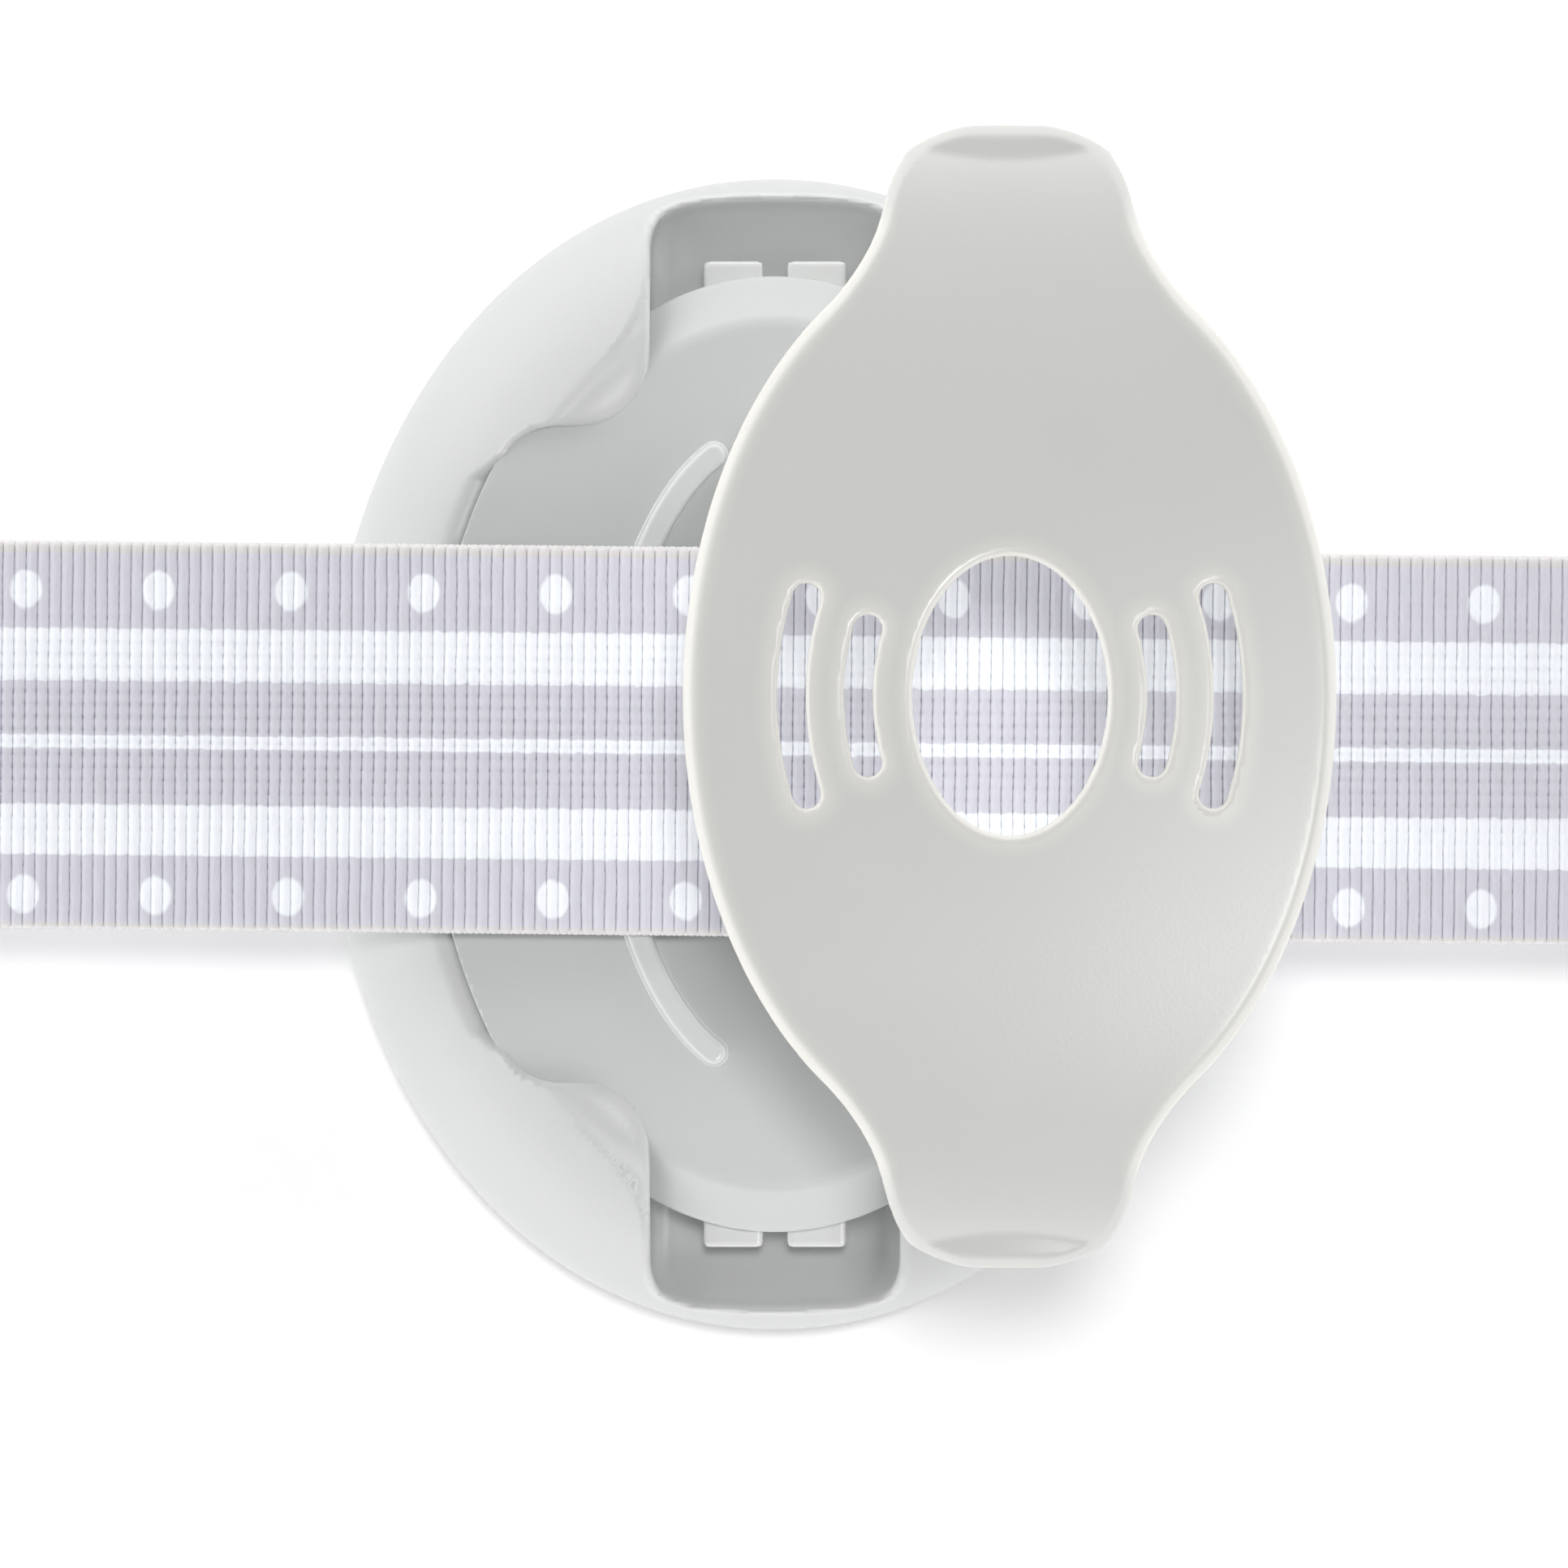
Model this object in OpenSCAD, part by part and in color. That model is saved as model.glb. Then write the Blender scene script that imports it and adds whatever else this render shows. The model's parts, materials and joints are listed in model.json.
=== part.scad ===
// Strap latch pod: a low oval case that sticks to a panel, a strap across it, and a snap-fit
// cover plate that clamps the strap. +Z is up, the origin is at the middle of the sticky face,
// X runs along the strap and Y along the pod.

/* [Pod case] */
// Width of the case, along the strap
pod_w = 59.2; // [50:0.1:75]
// Length of the case, across the strap
pod_l = 75.6; // [66:0.1:95]
// Height of the upright side wall under the dome, from the case's lower edge
side_h = 1.4; // [0.8:0.1:4]
// Rise of the dome above the upright side wall
dome_rise = 11.6; // [9:0.1:15]
// How far in from the side the dome takes to become level
dome_reach = 20; // [16:0.5:24]
// Moulded wall thickness of the case
wall = 1.8; // [1:0.1:2.6]
// Thickness of the case's inner deck
deck_t = 1.2; // [0.8:0.1:2]

/* [Recess and pockets] */
// Width of the oval recess, along the strap
recess_w = 44.2; // [36:0.1:52]
// Length of the oval that the recess follows
recess_l = 63.2; // [54:0.1:76]
// Length of the strap bay between the corner flanks
bay_l = 42.6; // [32:0.1:50]
// Width of the finger pocket at each end
pocket_w = 16.3; // [12:0.1:22]
// Band of case left outside each pocket
rim_band = 1.2; // [0.9:0.1:3]
// Corner radius at the outer end of a pocket
pocket_r = 3.6; // [1:0.1:6]
// Corner radius of the flanks beside the strap bay
flank_r = 3.9; // [1:0.1:5]
// Slope of the seat facets on the flanks, in degrees
facet_slope = 19; // [8:1:28]

/* [Inner platform] */
// Gap between the platform and the wall of the recess
platform_gap = 0.15; // [0.1:0.05:0.6]
// Height of the platform's top above the sticky face
platform_z = 11.2; // [10:0.1:13]
// Length of the platform, bevels and all
platform_l = 62.6; // [54:0.1:75]
// Length of the platform's level top
platform_top_l = 56.4; // [48:0.1:70]
// Drop of the bevel at each end of the platform
bevel_drop = 2.4; // [0.6:0.1:2.8]

/* [Grip ribs] */
// Half width of the oval that the two grip ribs follow
rib_x = 10.7; // [7:0.1:15]
// Half length of the same oval
rib_oval_y = 20.9; // [17:0.1:25]
// Half length of each rib
rib_reach = 19.4; // [12:0.1:20]
// Width of a grip rib
rib_t = 1.7; // [1.2:0.1:3]
// Height of a grip rib above the platform
rib_h = 1.2; // [0.6:0.1:1.6]
// Depth of the groove that a grip rib sits in
rib_groove = 0.6; // [0.4:0.1:1]

/* [Catch frame] */
// Width of one catch lug
lug_w = 3.85; // [2.5:0.05:5]
// Gap between the two lugs of a pair
lug_gap = 1.6; // [1:0.1:4]
// How far a lug stands out past the end of the platform
lug_reach = 0.9; // [0.6:0.1:1.3]
// Thickness of a lug
lug_t = 1.6; // [1:0.1:2.2]
// Height of the catch frame above the deck
catch_h = 3.6; // [3:0.1:4.5]

/* [Strap] */
// Width of the webbing strap
strap_w = 25; // [16:0.5:30]
// Thickness of the webbing strap
strap_t = 1.2; // [0.8:0.1:1.8]
// Length of the strap
strap_l = 112; // [90:1:200]
// Clearance between the strap and what it passes over
strap_gap = 0.12; // [0.1:0.02:0.4]
// Clearance beside the strap where it crosses the case
strap_side_gap = 0.6; // [0.2:0.1:2]
// How far the strap's middle lies from the pod's middle, along the pod
strap_off = 0.6; // [-2:0.1:2]

/* [Cover plate] */
// Width of the plate's oval, along the strap
plate_w = 41.2; // [34:0.1:50]
// Length of the plate's oval
plate_oval_l = 59.4; // [50:0.1:72]
// Clearance between a tab and the side of its pocket
tab_side_gap = 0.2; // [0.15:0.05:0.6]
// Clearance between a tab's end and the outer wall of its pocket
tab_end_gap = 0.35; // [0.2:0.05:0.8]
// Corner radius at the end of a tab
tab_r = 3.6; // [1:0.1:6]
// Fillet where a tab joins the oval
tab_fillet = 3.7; // [1:0.1:6]
// Thickness of the cover plate
plate_t = 1.4; // [1:0.1:2.2]
// Height of the plate's top above the sticky face when it is snapped in
plate_crown = 16.2; // [15:0.1:19]
// Drop that sets how strongly the plate arches down to its tabs
plate_drop = 13.5; // [11:0.1:16]
// How far past the end of a tab the arch would stand upright
arch_past = 2.25; // [1.5:0.05:6]
// Length of the flatter thumb ledge at the end of each tab
ledge_l = 2.2; // [1:0.1:3]
// Fall of the thumb ledge for each millimetre of its length
ledge_fall = 0.2; // [0:0.05:0.6]
// Clearance between the seated plate and the case
seat_gap = 0.3; // [0.2:0.05:0.6]
// Width of the oval hole in the middle of the plate
hole_w = 12.3; // [8:0.1:14]
// Length of the oval hole in the middle of the plate
hole_l = 17.6; // [12:0.1:24]
// Width of the curved slots beside the hole
slot_w = 1.8; // [1:0.1:2.4]
// Distance of the inner pair of slots from the middle
slot_in_x = 9.55; // [8:0.05:11]
// Distance of the outer pair of slots from the middle
slot_out_x = 13.75; // [12.5:0.05:16]

/* [Snap hooks] */
// Width of a snap hook
hook_w = 9.4; // [6:0.1:12]
// Thickness of a snap hook's arm
hook_t = 1.1; // [0.8:0.1:1.5]
// Overlap of a hook's barb under the lugs
bite = 0.6; // [0.3:0.05:0.8]
// Thickness of a hook's barb
barb_t = 1.1; // [0.8:0.1:1.4]
// Clearance between a barb and the underside of the lugs
barb_gap = 0.3; // [0.2:0.05:0.6]

/* [Sticky mount] */
// Thickness of the foam pad
pad_t = 1.2; // [0.6:0.1:2.5]
// Margin between the foam pad and the case's edge
pad_margin = 3; // [1:0.5:6]
// Thickness of the base plate
base_t = 2; // [1.2:0.1:3]
// Fit clearance between the base plate and the case
base_gap = 0.15; // [0.1:0.05:0.5]

/* [Cover plate lifted off] */
// How far the loose plate lies along the strap from its seat
off_x = 14.8; // [0:0.1:30]
// How far the loose plate lies along the pod from its seat
off_y = 3.6; // [-10:0.1:10]
// How high the loose plate is held above its seat
off_z = 22; // [21:0.5:40]

/* [Hidden] */

eps = 0.01;
far = 200;
oval_power = 2.05;               // a touch fuller than a true ellipse
base_z = pad_t;                  // lower edge of the case and of the base plate
deck_z = base_z + base_t;        // underside of the inner deck, on the base plate
deck_top = deck_z + deck_t;
dome_z = base_z + side_h;        // where the dome starts
pocket_end = pod_l / 2 - rim_band;
catch_top = deck_top + catch_h;
lug_z = catch_top - lug_t;
lug_end = platform_l / 2 + lug_reach;
rib_top = platform_z + rib_h;
strap_z = rib_top + strap_gap;
tab_w = pocket_w - 2 * tab_side_gap;
arch_power = 2.4;
plate_end = pocket_end - tab_end_gap;
plate_arch = plate_end + arch_past;
ledge_start = plate_end - ledge_l;       // where the thumb ledge leaves the arch
tub_wall = wall * 0.8;                   // wall between the tub and the hollow around it
facet_inner = [pocket_w / 2 + 1.55, bay_l / 2 + 5.4];    // a facet's crease runs from here
facet_outer = [pocket_w / 2 + 5.55, bay_l / 2 + 0.75];   // to here
facet_depth = pod_w / 2 * 0.28;          // how far in from the side the crease meets the dome
catch_inset = 0.8;                       // the catch frame is this much shorter than the platform
press_rib_t = 1;                         // ribs under the plate that press the strap
barb_in = lug_end - bite;                // inner tip of a barb
arm_gap = 0.6;                           // between the lugs and a hook's arm
arm_in = lug_end + arm_gap;              // inner face of a hook's arm
hinge_y = arm_in + hook_t / 2;           // a hook flexes about its root
root_drop = 0.9;                         // a hook's root below the plate's underside
saddle_half = 0.9;                       // half the length of the saddle that holds a root
root_gap = 0.05;                         // clearance round a hook's root
hinge_z = plate_top(hinge_y) - plate_t - root_drop;
barb_top = lug_z - barb_gap;
slot_in_r = 15;
slot_out_r = 20.8;
slot_in_half = 4.2;
slot_out_half = 6.2;

// Height of the snapped-in plate's arch at a distance y from its middle
function arch_top(y) =
    plate_crown - plate_drop * (1 - pow(1 - pow(min(abs(y) / plate_arch, 1), arch_power), 1 / arch_power));

// The same with the thumb ledge, which leaves the arch at ledge_start
function plate_top(y) =
    abs(y) < ledge_start ? arch_top(y) : arch_top(ledge_start) - ledge_fall * (abs(y) - ledge_start);

// Points of a full oval of half width a and half length b
function oval(a, b, power = oval_power, steps = 96) = [
    for (i = [0 : steps - 1])
        let (t = 360 * i / steps, c = cos(t), s = sin(t))
        [a * sign(c) * pow(abs(c), 2 / power), b * sign(s) * pow(abs(s), 2 / power)]
];

// Height of the dome at a distance d in from the side, for a dome that starts at height z
function dome_top(d, z, rise, reach) = z + rise * sqrt(1 - pow(1 - min(d / reach, 1), 2));

// A closed dome on an oval: an upright side from low to z, then a quarter-ellipse inwards
module dome(a, b, low, z, rise, reach, steps = 96, rings = 12) {
    heights = concat([[0, low]], [
        for (k = [0 : rings])
            let (turn = 90 * k / rings)
            [reach * (1 - cos(turn)), z + rise * sin(turn)]
    ]);
    points = [for (h = heights) for (p = oval(a - h[0], b - h[0], oval_power, steps)) [p[0], p[1], h[1]]];
    last = len(heights) - 1;
    sides = [
        for (k = [0 : last - 1]) for (i = [0 : steps - 1])
            let (j = (i + 1) % steps, low_ring = k * steps, high_ring = low_ring + steps)
            each [[low_ring + i, high_ring + i, high_ring + j], [low_ring + i, high_ring + j, low_ring + j]]
    ];
    polyhedron(
        points = points,
        faces = concat(
            sides,
            [[for (i = [0 : steps - 1]) i]],
            [[for (i = [steps - 1 : -1 : 0]) last * steps + i]]
        )
    );
}

// Plain oval slab from height low to height high
module oval_slab(a, b, low, high) {
    translate([0, 0, low]) linear_extrude(high - low) polygon(oval(a, b));
}

// Rectangle of half width a and half length b with corners of radius r
module round_box(a, b, r) {
    union() {
        square([2 * a, 2 * (b - r)], center = true);
        square([2 * (a - r), 2 * b], center = true);
        for (x = [-1, 1]) for (y = [-1, 1]) translate([x * (a - r), y * (b - r)]) circle(r, $fn = 48);
    }
}

// Outline of the case's opening, grown outwards by g: the strap bay and the two pockets
module opening(g) {
    bay_half = bay_l / 2 + g;
    pocket_half = pocket_w / 2 + g;
    corner = flank_r - g;
    union() {
        intersection() {
            polygon(oval(recess_w / 2 + g, recess_l / 2 + g, 2));
            square([far, 2 * bay_half], center = true);
        }
        round_box(pocket_half, pocket_end + g, pocket_r + g);
        for (x = [0, 1]) for (y = [0, 1]) mirror([x, 0]) mirror([0, y])
            translate([pocket_half - eps, bay_half - eps]) difference() {
                square(corner);
                translate([corner, corner]) circle(corner, $fn = 64);
            }
    }
}

// Wedges that slope the flanks' inner corners down, where the cover plate's oval sits
module seat_facets() {
    along = facet_outer - facet_inner;
    start = dome_top(facet_depth, dome_z, dome_rise, dome_reach);
    for (x = [0, 1]) for (y = [0, 1]) mirror([x, 0, 0]) mirror([0, y, 0])
        translate([facet_inner[0], facet_inner[1], start])
            rotate([0, 0, atan2(along[1], along[0])])
                rotate([facet_slope, 0, 0])
                    translate([-norm(along), -far / 10, 0]) cube([3 * norm(along), far / 10, 5]);
}

module case_shell() {
    a = pod_w / 2;
    b = pod_l / 2;
    color([0.84, 0.85, 0.84]) difference() {
        dome(a, b, base_z, dome_z, dome_rise, dome_reach);
        // hollow underneath, outside the tub that holds the platform
        difference() {
            dome(a - wall, b - wall, base_z - 1, dome_z, dome_rise - wall, dome_reach - wall, 72, 8);
            translate([0, 0, deck_z]) linear_extrude(far) opening(tub_wall);
        }
        // the tub, down to the deck
        translate([0, 0, deck_top]) linear_extrude(far) opening(0);
        seat_facets();
        plate_seat();
        // the way across for the strap
        translate([-far / 2, strap_off - strap_w / 2 - strap_side_gap, strap_z - strap_gap])
            cube([far, strap_w + 2 * strap_side_gap, far]);
    }
}

module base_plate() {
    inset = wall + base_gap;
    color([0.80, 0.81, 0.81]) oval_slab(pod_w / 2 - inset, pod_l / 2 - inset, base_z, deck_z);
}

module adhesive_pad() {
    color([0.93, 0.93, 0.91])
        oval_slab(pod_w / 2 - pad_margin, pod_l / 2 - pad_margin, 0, base_z);
}

module catch_frame() {
    color([0.93, 0.94, 0.93]) union() {
        translate([0, 0, deck_top]) linear_extrude(catch_h) platform_outline(platform_l - 2 * catch_inset);
        for (x = [-1, 1])
            translate([x * (lug_gap + lug_w) / 2 - lug_w / 2, -lug_end, lug_z])
                cube([lug_w, 2 * lug_end, lug_t]);
    }
}

// Outline of the platform: the bay between the flanks, with an oval nose into each pocket
module platform_outline(length) {
    nose = length / 2;
    intersection() {
        opening(-platform_gap);
        polygon(oval(recess_w / 2, nose, 2));
    }
}

module platform() {
    color([0.77, 0.78, 0.78]) difference() {
        intersection() {
            translate([0, 0, catch_top]) linear_extrude(platform_z - catch_top) platform_outline(platform_l);
            union() {
                linear_extrude(platform_z) square([far, bay_l], center = true);
                bevelled_oval();
            }
        }
        grip_rib(-1, rib_groove, rib_groove + 1);
        grip_rib(1, rib_groove, rib_groove + 1);
    }
}

// An oval block whose edge slopes in to the platform's level top
module bevelled_oval() {
    steps = 96;
    slope_in = (platform_l - platform_top_l) / 2;
    low_ring = oval(recess_w / 2, platform_l / 2, 2, steps);
    top_ring = oval(recess_w / 2 - slope_in, platform_top_l / 2, 2, steps);
    points = concat(
        [for (p = low_ring) [p[0], p[1], 0]],
        [for (p = low_ring) [p[0], p[1], platform_z - bevel_drop]],
        [for (p = top_ring) [p[0], p[1], platform_z]]
    );
    sides = [
        for (k = [0, 1]) for (i = [0 : steps - 1])
            let (j = (i + 1) % steps, low = k * steps, high = low + steps)
            each [[low + i, high + i, high + j], [low + i, high + j, low + j]]
    ];
    polyhedron(
        points = points,
        faces = concat(sides, [[for (i = [0 : steps - 1]) i]], [[for (i = [steps - 1 : -1 : 0]) 2 * steps + i]])
    );
}

// One grip rib: a curved bar with round ends, as tall as asked from the bottom of its groove
module grip_rib(side, depth, height) {
    steps = 20;
    reach = asin(rib_reach / rib_oval_y);
    line = [for (i = [-steps : steps]) let (t = reach * i / steps) [rib_x * cos(t), rib_oval_y * sin(t)]];
    across = [for (i = [-steps : steps]) let (t = reach * i / steps, n = [cos(t) / rib_x, sin(t) / rib_oval_y])
        n / norm(n) * rib_t / 2];
    outer = line + across;
    inner = line - across;
    translate([0, 0, platform_z - depth]) linear_extrude(height) mirror([side < 0 ? 1 : 0, 0]) union() {
        polygon(concat(outer, [for (i = [2 * steps : -1 : 0]) inner[i]]));
        for (end = [0, 2 * steps]) translate(line[end]) circle(rib_t / 2, $fn = 32);
    }
}

module grip_rib_left() { color([0.85, 0.86, 0.85]) grip_rib(-1, rib_groove, rib_groove + rib_h); }

module grip_rib_right() { color([0.85, 0.86, 0.85]) grip_rib(1, rib_groove, rib_groove + rib_h); }

module strap() {
    color([0.78, 0.78, 0.83])
        translate([-strap_l / 2, strap_off - strap_w / 2, strap_z]) cube([strap_l, strap_w, strap_t]);
}

// Where the loose cover plate and its hooks are held
module lifted() { translate([off_x, off_y, off_z]) children(); }

// Arched slab between the plate's top and its underside, along the whole strap direction
module arch(thickness) {
    steps = 28;
    ends = [ledge_start, plate_end + 1];
    half = concat([for (i = [0 : steps - 1]) ledge_start * sin(90 * i / steps)], ends);
    last = len(half) - 1;
    ys = concat([for (i = [last : -1 : 1]) -half[i]], half);
    top = [for (y = ys) [y, plate_top(y)]];
    bottom = [for (i = [2 * last : -1 : 0]) [ys[i], plate_top(ys[i]) - thickness]];
    translate([-far / 2, 0, 0]) rotate([90, 0, 90]) linear_extrude(far) polygon(concat(top, bottom));
}

// The way out of an oval of half width a and half length b at the angle t
function way_out(a, b, t) = let (n = [cos(t) / a, sin(t) / b]) n / norm(n);

// The centre of a circle of radius r that touches that oval from outside at the angle t
function outside_centre(a, b, r, t) = [a * cos(t), b * sin(t)] + r * way_out(a, b, t);

// The angle at which such a circle also touches the line x = side, by halving
function fillet_turn(a, b, r, side, low = 0, high = 90, tries = 30) =
    let (mid = (low + high) / 2)
    tries == 0 ? mid
    : outside_centre(a, b, r, mid)[0] > side + r ? fillet_turn(a, b, r, side, mid, high, tries - 1)
    : fillet_turn(a, b, r, side, low, mid, tries - 1);

// Outline of the cover plate, grown by g: an oval with a tab at each end, and a fillet in each corner
module plate_outline(g = 0) {
    a = plate_w / 2 + g;
    b = plate_oval_l / 2 + g;
    side = tab_w / 2 + g;
    r = tab_fillet - g;
    turn = fillet_turn(a, b, r, side);
    centre = outside_centre(a, b, r, turn);
    touch = way_out(a, b, turn);
    sweep = atan2(touch[1], touch[0]);
    corner = [for (i = [0 : 12]) let (t = 180 + sweep * (1 - i / 12)) centre + r * [cos(t), sin(t)]];
    union() {
        polygon(oval(a, b, 2));
        round_box(side, plate_end + g, tab_r + g);
        for (x = [0, 1]) for (y = [0, 1]) mirror([x, 0]) mirror([0, y])
            polygon(concat([[0, corner[0][1]]], corner, [[0, centre[1]]]));
    }
}

// The space that the seated plate needs in the case, with its clearance all round
module plate_seat() {
    intersection() {
        linear_extrude(far) plate_outline(seat_gap);
        translate([0, 0, far - plate_t - seat_gap]) arch(far);
    }
}

// A slot along an arc of radius r that bulges away from the middle, half_l to each side
module arc_slot(mid, r, half_l, width) {
    reach = asin(half_l / r);
    translate([mid - r, 0]) union() {
        intersection() {
            difference() {
                circle(r + width / 2, $fn = 96);
                circle(r - width / 2, $fn = 96);
            }
            polygon([[0, 0], [2 * r * cos(reach), 2 * r * sin(reach)], [2 * r * cos(reach), -2 * r * sin(reach)]]);
        }
        for (s = [-1, 1]) translate([r * cos(reach), s * r * sin(reach)]) circle(width / 2, $fn = 32);
    }
}

module cover_plate() {
    press_z = strap_z + strap_t + strap_gap;
    color([0.80, 0.80, 0.79]) lifted() difference() {
        union() {
            intersection() {
                linear_extrude(far) plate_outline();
                arch(plate_t);
            }
            // ribs that press the strap down beside the grip ribs
            for (x = [0, 1]) mirror([x, 0, 0])
                translate([0, 0, press_z])
                    linear_extrude(plate_top(slot_out_half) - plate_t / 2 - press_z)
                        arc_slot((slot_in_x + slot_out_x) / 2, (slot_in_r + slot_out_r) / 2,
                                 slot_in_half, press_rib_t);
            // saddles that hold the hooks' roots
            for (y = [0, 1]) mirror([0, y, 0])
                translate([-hook_w / 2, hinge_y - saddle_half, hinge_z])
                    cube([hook_w, 2 * saddle_half,
                          plate_top(hinge_y + saddle_half) - plate_t / 2 - hinge_z]);
        }
        translate([0, 0, -eps]) linear_extrude(far) polygon(oval(hole_w / 2, hole_l / 2, 2));
        for (x = [0, 1]) mirror([x, 0, 0]) linear_extrude(far) {
            arc_slot(slot_in_x, slot_in_r, slot_in_half, slot_w);
            arc_slot(slot_out_x, slot_out_r, slot_out_half, slot_w);
        }
        for (y = [-1, 1])
            translate([-far / 2, y * hinge_y, hinge_z]) rotate([0, 90, 0])
                cylinder(h = far, r = hook_t / 2 + root_gap, $fn = 48);
    }
}

// One snap hook: a round root, an arm down and a barb turned in under the lugs
module hook() {
    barb_low = barb_top - barb_t;
    lifted() union() {
        translate([-hook_w / 2, hinge_y, hinge_z]) rotate([0, 90, 0])
            cylinder(h = hook_w, r = hook_t / 2, $fn = 48);
        translate([-hook_w / 2, hinge_y - hook_t / 2, barb_low]) cube([hook_w, hook_t, hinge_z - barb_low]);
        translate([-hook_w / 2, barb_in, barb_low]) rotate([90, 0, 90]) linear_extrude(hook_w)
            polygon([[0, barb_t * 0.7], [0, barb_t], [hinge_y - barb_in, barb_t], [hinge_y - barb_in, 0],
                     [barb_t * 0.7, 0]]);
    }
}

module top_hook() { color([0.86, 0.87, 0.86]) hook(); }

module bottom_hook() {
    color([0.86, 0.87, 0.86]) translate([0, 2 * off_y, 0]) mirror([0, 1, 0]) hook();
}

case_shell();
base_plate();
adhesive_pad();
catch_frame();
platform();
grip_rib_left();
grip_rib_right();
strap();
cover_plate();
top_hook();
bottom_hook();
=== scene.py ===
"""Looks of a strap latch pod: an oval case that sticks to a panel, a woven strap laid across it,
and the snap-fit cover plate that clamps the strap, held loose above its seat.
"""

import json
import math
from types import SimpleNamespace

import bpy
import numpy as np
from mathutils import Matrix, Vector


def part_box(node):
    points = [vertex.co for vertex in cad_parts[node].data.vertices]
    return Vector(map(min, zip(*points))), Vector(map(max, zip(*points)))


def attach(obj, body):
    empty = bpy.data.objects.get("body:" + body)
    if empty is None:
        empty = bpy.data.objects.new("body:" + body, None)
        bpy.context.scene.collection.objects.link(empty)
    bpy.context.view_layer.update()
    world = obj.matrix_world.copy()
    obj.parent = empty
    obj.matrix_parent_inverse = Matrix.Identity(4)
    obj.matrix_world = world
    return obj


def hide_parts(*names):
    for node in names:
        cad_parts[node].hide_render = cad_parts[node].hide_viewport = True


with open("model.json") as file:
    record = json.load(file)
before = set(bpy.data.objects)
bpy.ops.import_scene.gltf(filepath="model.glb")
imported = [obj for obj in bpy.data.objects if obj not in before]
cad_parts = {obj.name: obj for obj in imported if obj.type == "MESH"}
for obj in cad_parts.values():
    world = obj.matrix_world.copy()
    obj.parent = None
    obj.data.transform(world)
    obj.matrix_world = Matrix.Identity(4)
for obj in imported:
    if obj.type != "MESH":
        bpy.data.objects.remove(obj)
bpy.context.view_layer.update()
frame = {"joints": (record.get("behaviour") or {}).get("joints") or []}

bl_info = {
    "name": "Strap latch pod",
    "version": (1, 0, 0),
    "blender": (4, 5, 0),
    "location": "View3D > Sidebar > Latch",
    "description": "Builds the moulded pieces and the woven strap of a stick-on strap latch pod",
    "category": "Object",
}

MM = 0.001


# ---------------------------------------------------------------- places taken from the frame

def box_mm(node):
    """Lowest and highest corner of a CAD node, in millimetres."""
    low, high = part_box(node)
    return np.array(low) / MM, np.array(high) / MM


def lift_mm():
    """How far the loose cover plate lies from its seat, from the joint that presses it down."""
    press = next(joint for joint in frame["joints"] if joint["name"] == "cover_press")
    axis = np.array(press["axis"], float)
    return -axis / np.linalg.norm(axis) * press["range_m"][1] / MM


CASE_LOW, CASE_HIGH = box_mm("case_shell")
BASE_LOW, BASE_HIGH = box_mm("base_plate")
PAD_LOW, PAD_HIGH = box_mm("adhesive_pad")
CATCH_LOW, CATCH_HIGH = box_mm("catch_frame")
DECK_LOW, DECK_HIGH = box_mm("platform")
RIB_LOW, RIB_HIGH = box_mm("grip_rib_right")
STRAP_LOW, STRAP_HIGH = box_mm("strap")
COVER_LOW, COVER_HIGH = box_mm("cover_plate")
HOOK_LOW, HOOK_HIGH = box_mm("top_hook")
LIFT = lift_mm()


# ---------------------------------------------------------------- sizes and colours

def length(name, description, default_mm):
    """A length that the sidebar shows."""
    return bpy.props.FloatProperty(
        name=name, description=description, default=default_mm * MM, unit="LENGTH", precision=5
    )


def colour(name, description, default):
    """A linear colour that the sidebar shows."""
    return bpy.props.FloatVectorProperty(
        name=name, description=description, default=default, size=3, min=0, max=1, subtype="COLOR"
    )


class LatchCaseSizes(bpy.types.PropertyGroup):
    side_h: length("Side height", "Upright side wall under the dome", 1.4)
    dome_rise: length("Dome rise", "Rise of the dome above its side wall", 11.6)
    dome_reach: length("Dome reach", "How far in the dome takes to become level", 20)
    wall: length("Wall", "Moulded wall of the case", 1.8)
    tub_wall: length("Tub wall", "Wall between the tub and the hollow around it", 1.44)
    lip_r: length("Lip rounding", "Rounding of the lip round the pockets and flanks", 0.5)
    bay_lip: length("Bay lip", "Extra rounding of the lip along the sides of the strap bay", 1.5)
    hem_r: length("Hem rounding", "Rounding of the case's lower edge", 0.5)
    floor_r: length("Floor fillet", "Fillet round the tub's floor", 1.2)
    scoop_r: length("Pocket scoop", "Radius of the scoop at the outer end of a finger pocket", 6)
    scoop_out: length("Scoop reach", "How far past the pocket's end the scoop would stand upright", 1.5)
    seat_gap: length("Seat gap", "Clearance round the pressed-down cover plate", 0.1)
    seat_r: length("Seat rounding", "Rounding of the seat's edges", 0.6)
    recess_w: length("Recess width", "Width of the oval recess", 44.2)
    recess_l: length("Recess length", "Length of the oval that the recess follows", 63.2)
    bay_l: length("Bay length", "Length of the strap bay between the flanks", 42.6)
    bay_r: length("Bay corner", "Rounding where the recess meets a flank", 1.7)
    pocket_w: length("Pocket width", "Width of a finger pocket", 16.3)
    rim_band: length("Rim band", "Band of case outside a finger pocket", 1.2)
    pocket_r: length("Pocket corner", "Corner radius at the outer end of a pocket", 3.6)
    flank_r: length("Flank corner", "Corner radius of a flank", 3.9)
    facet_in: length("Facet height", "How far in from the side a facet's crease meets the dome", 8.29)
    facet_r: length("Facet edge", "Rounding of a facet's crease", 0.35)
    facet_drop: length("Facet drop", "Drop of a facet from its crease to its level foot", 0.95)
    facet_w: length("Facet width", "Distance from a facet's crease to its level foot", 4.6)


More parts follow.
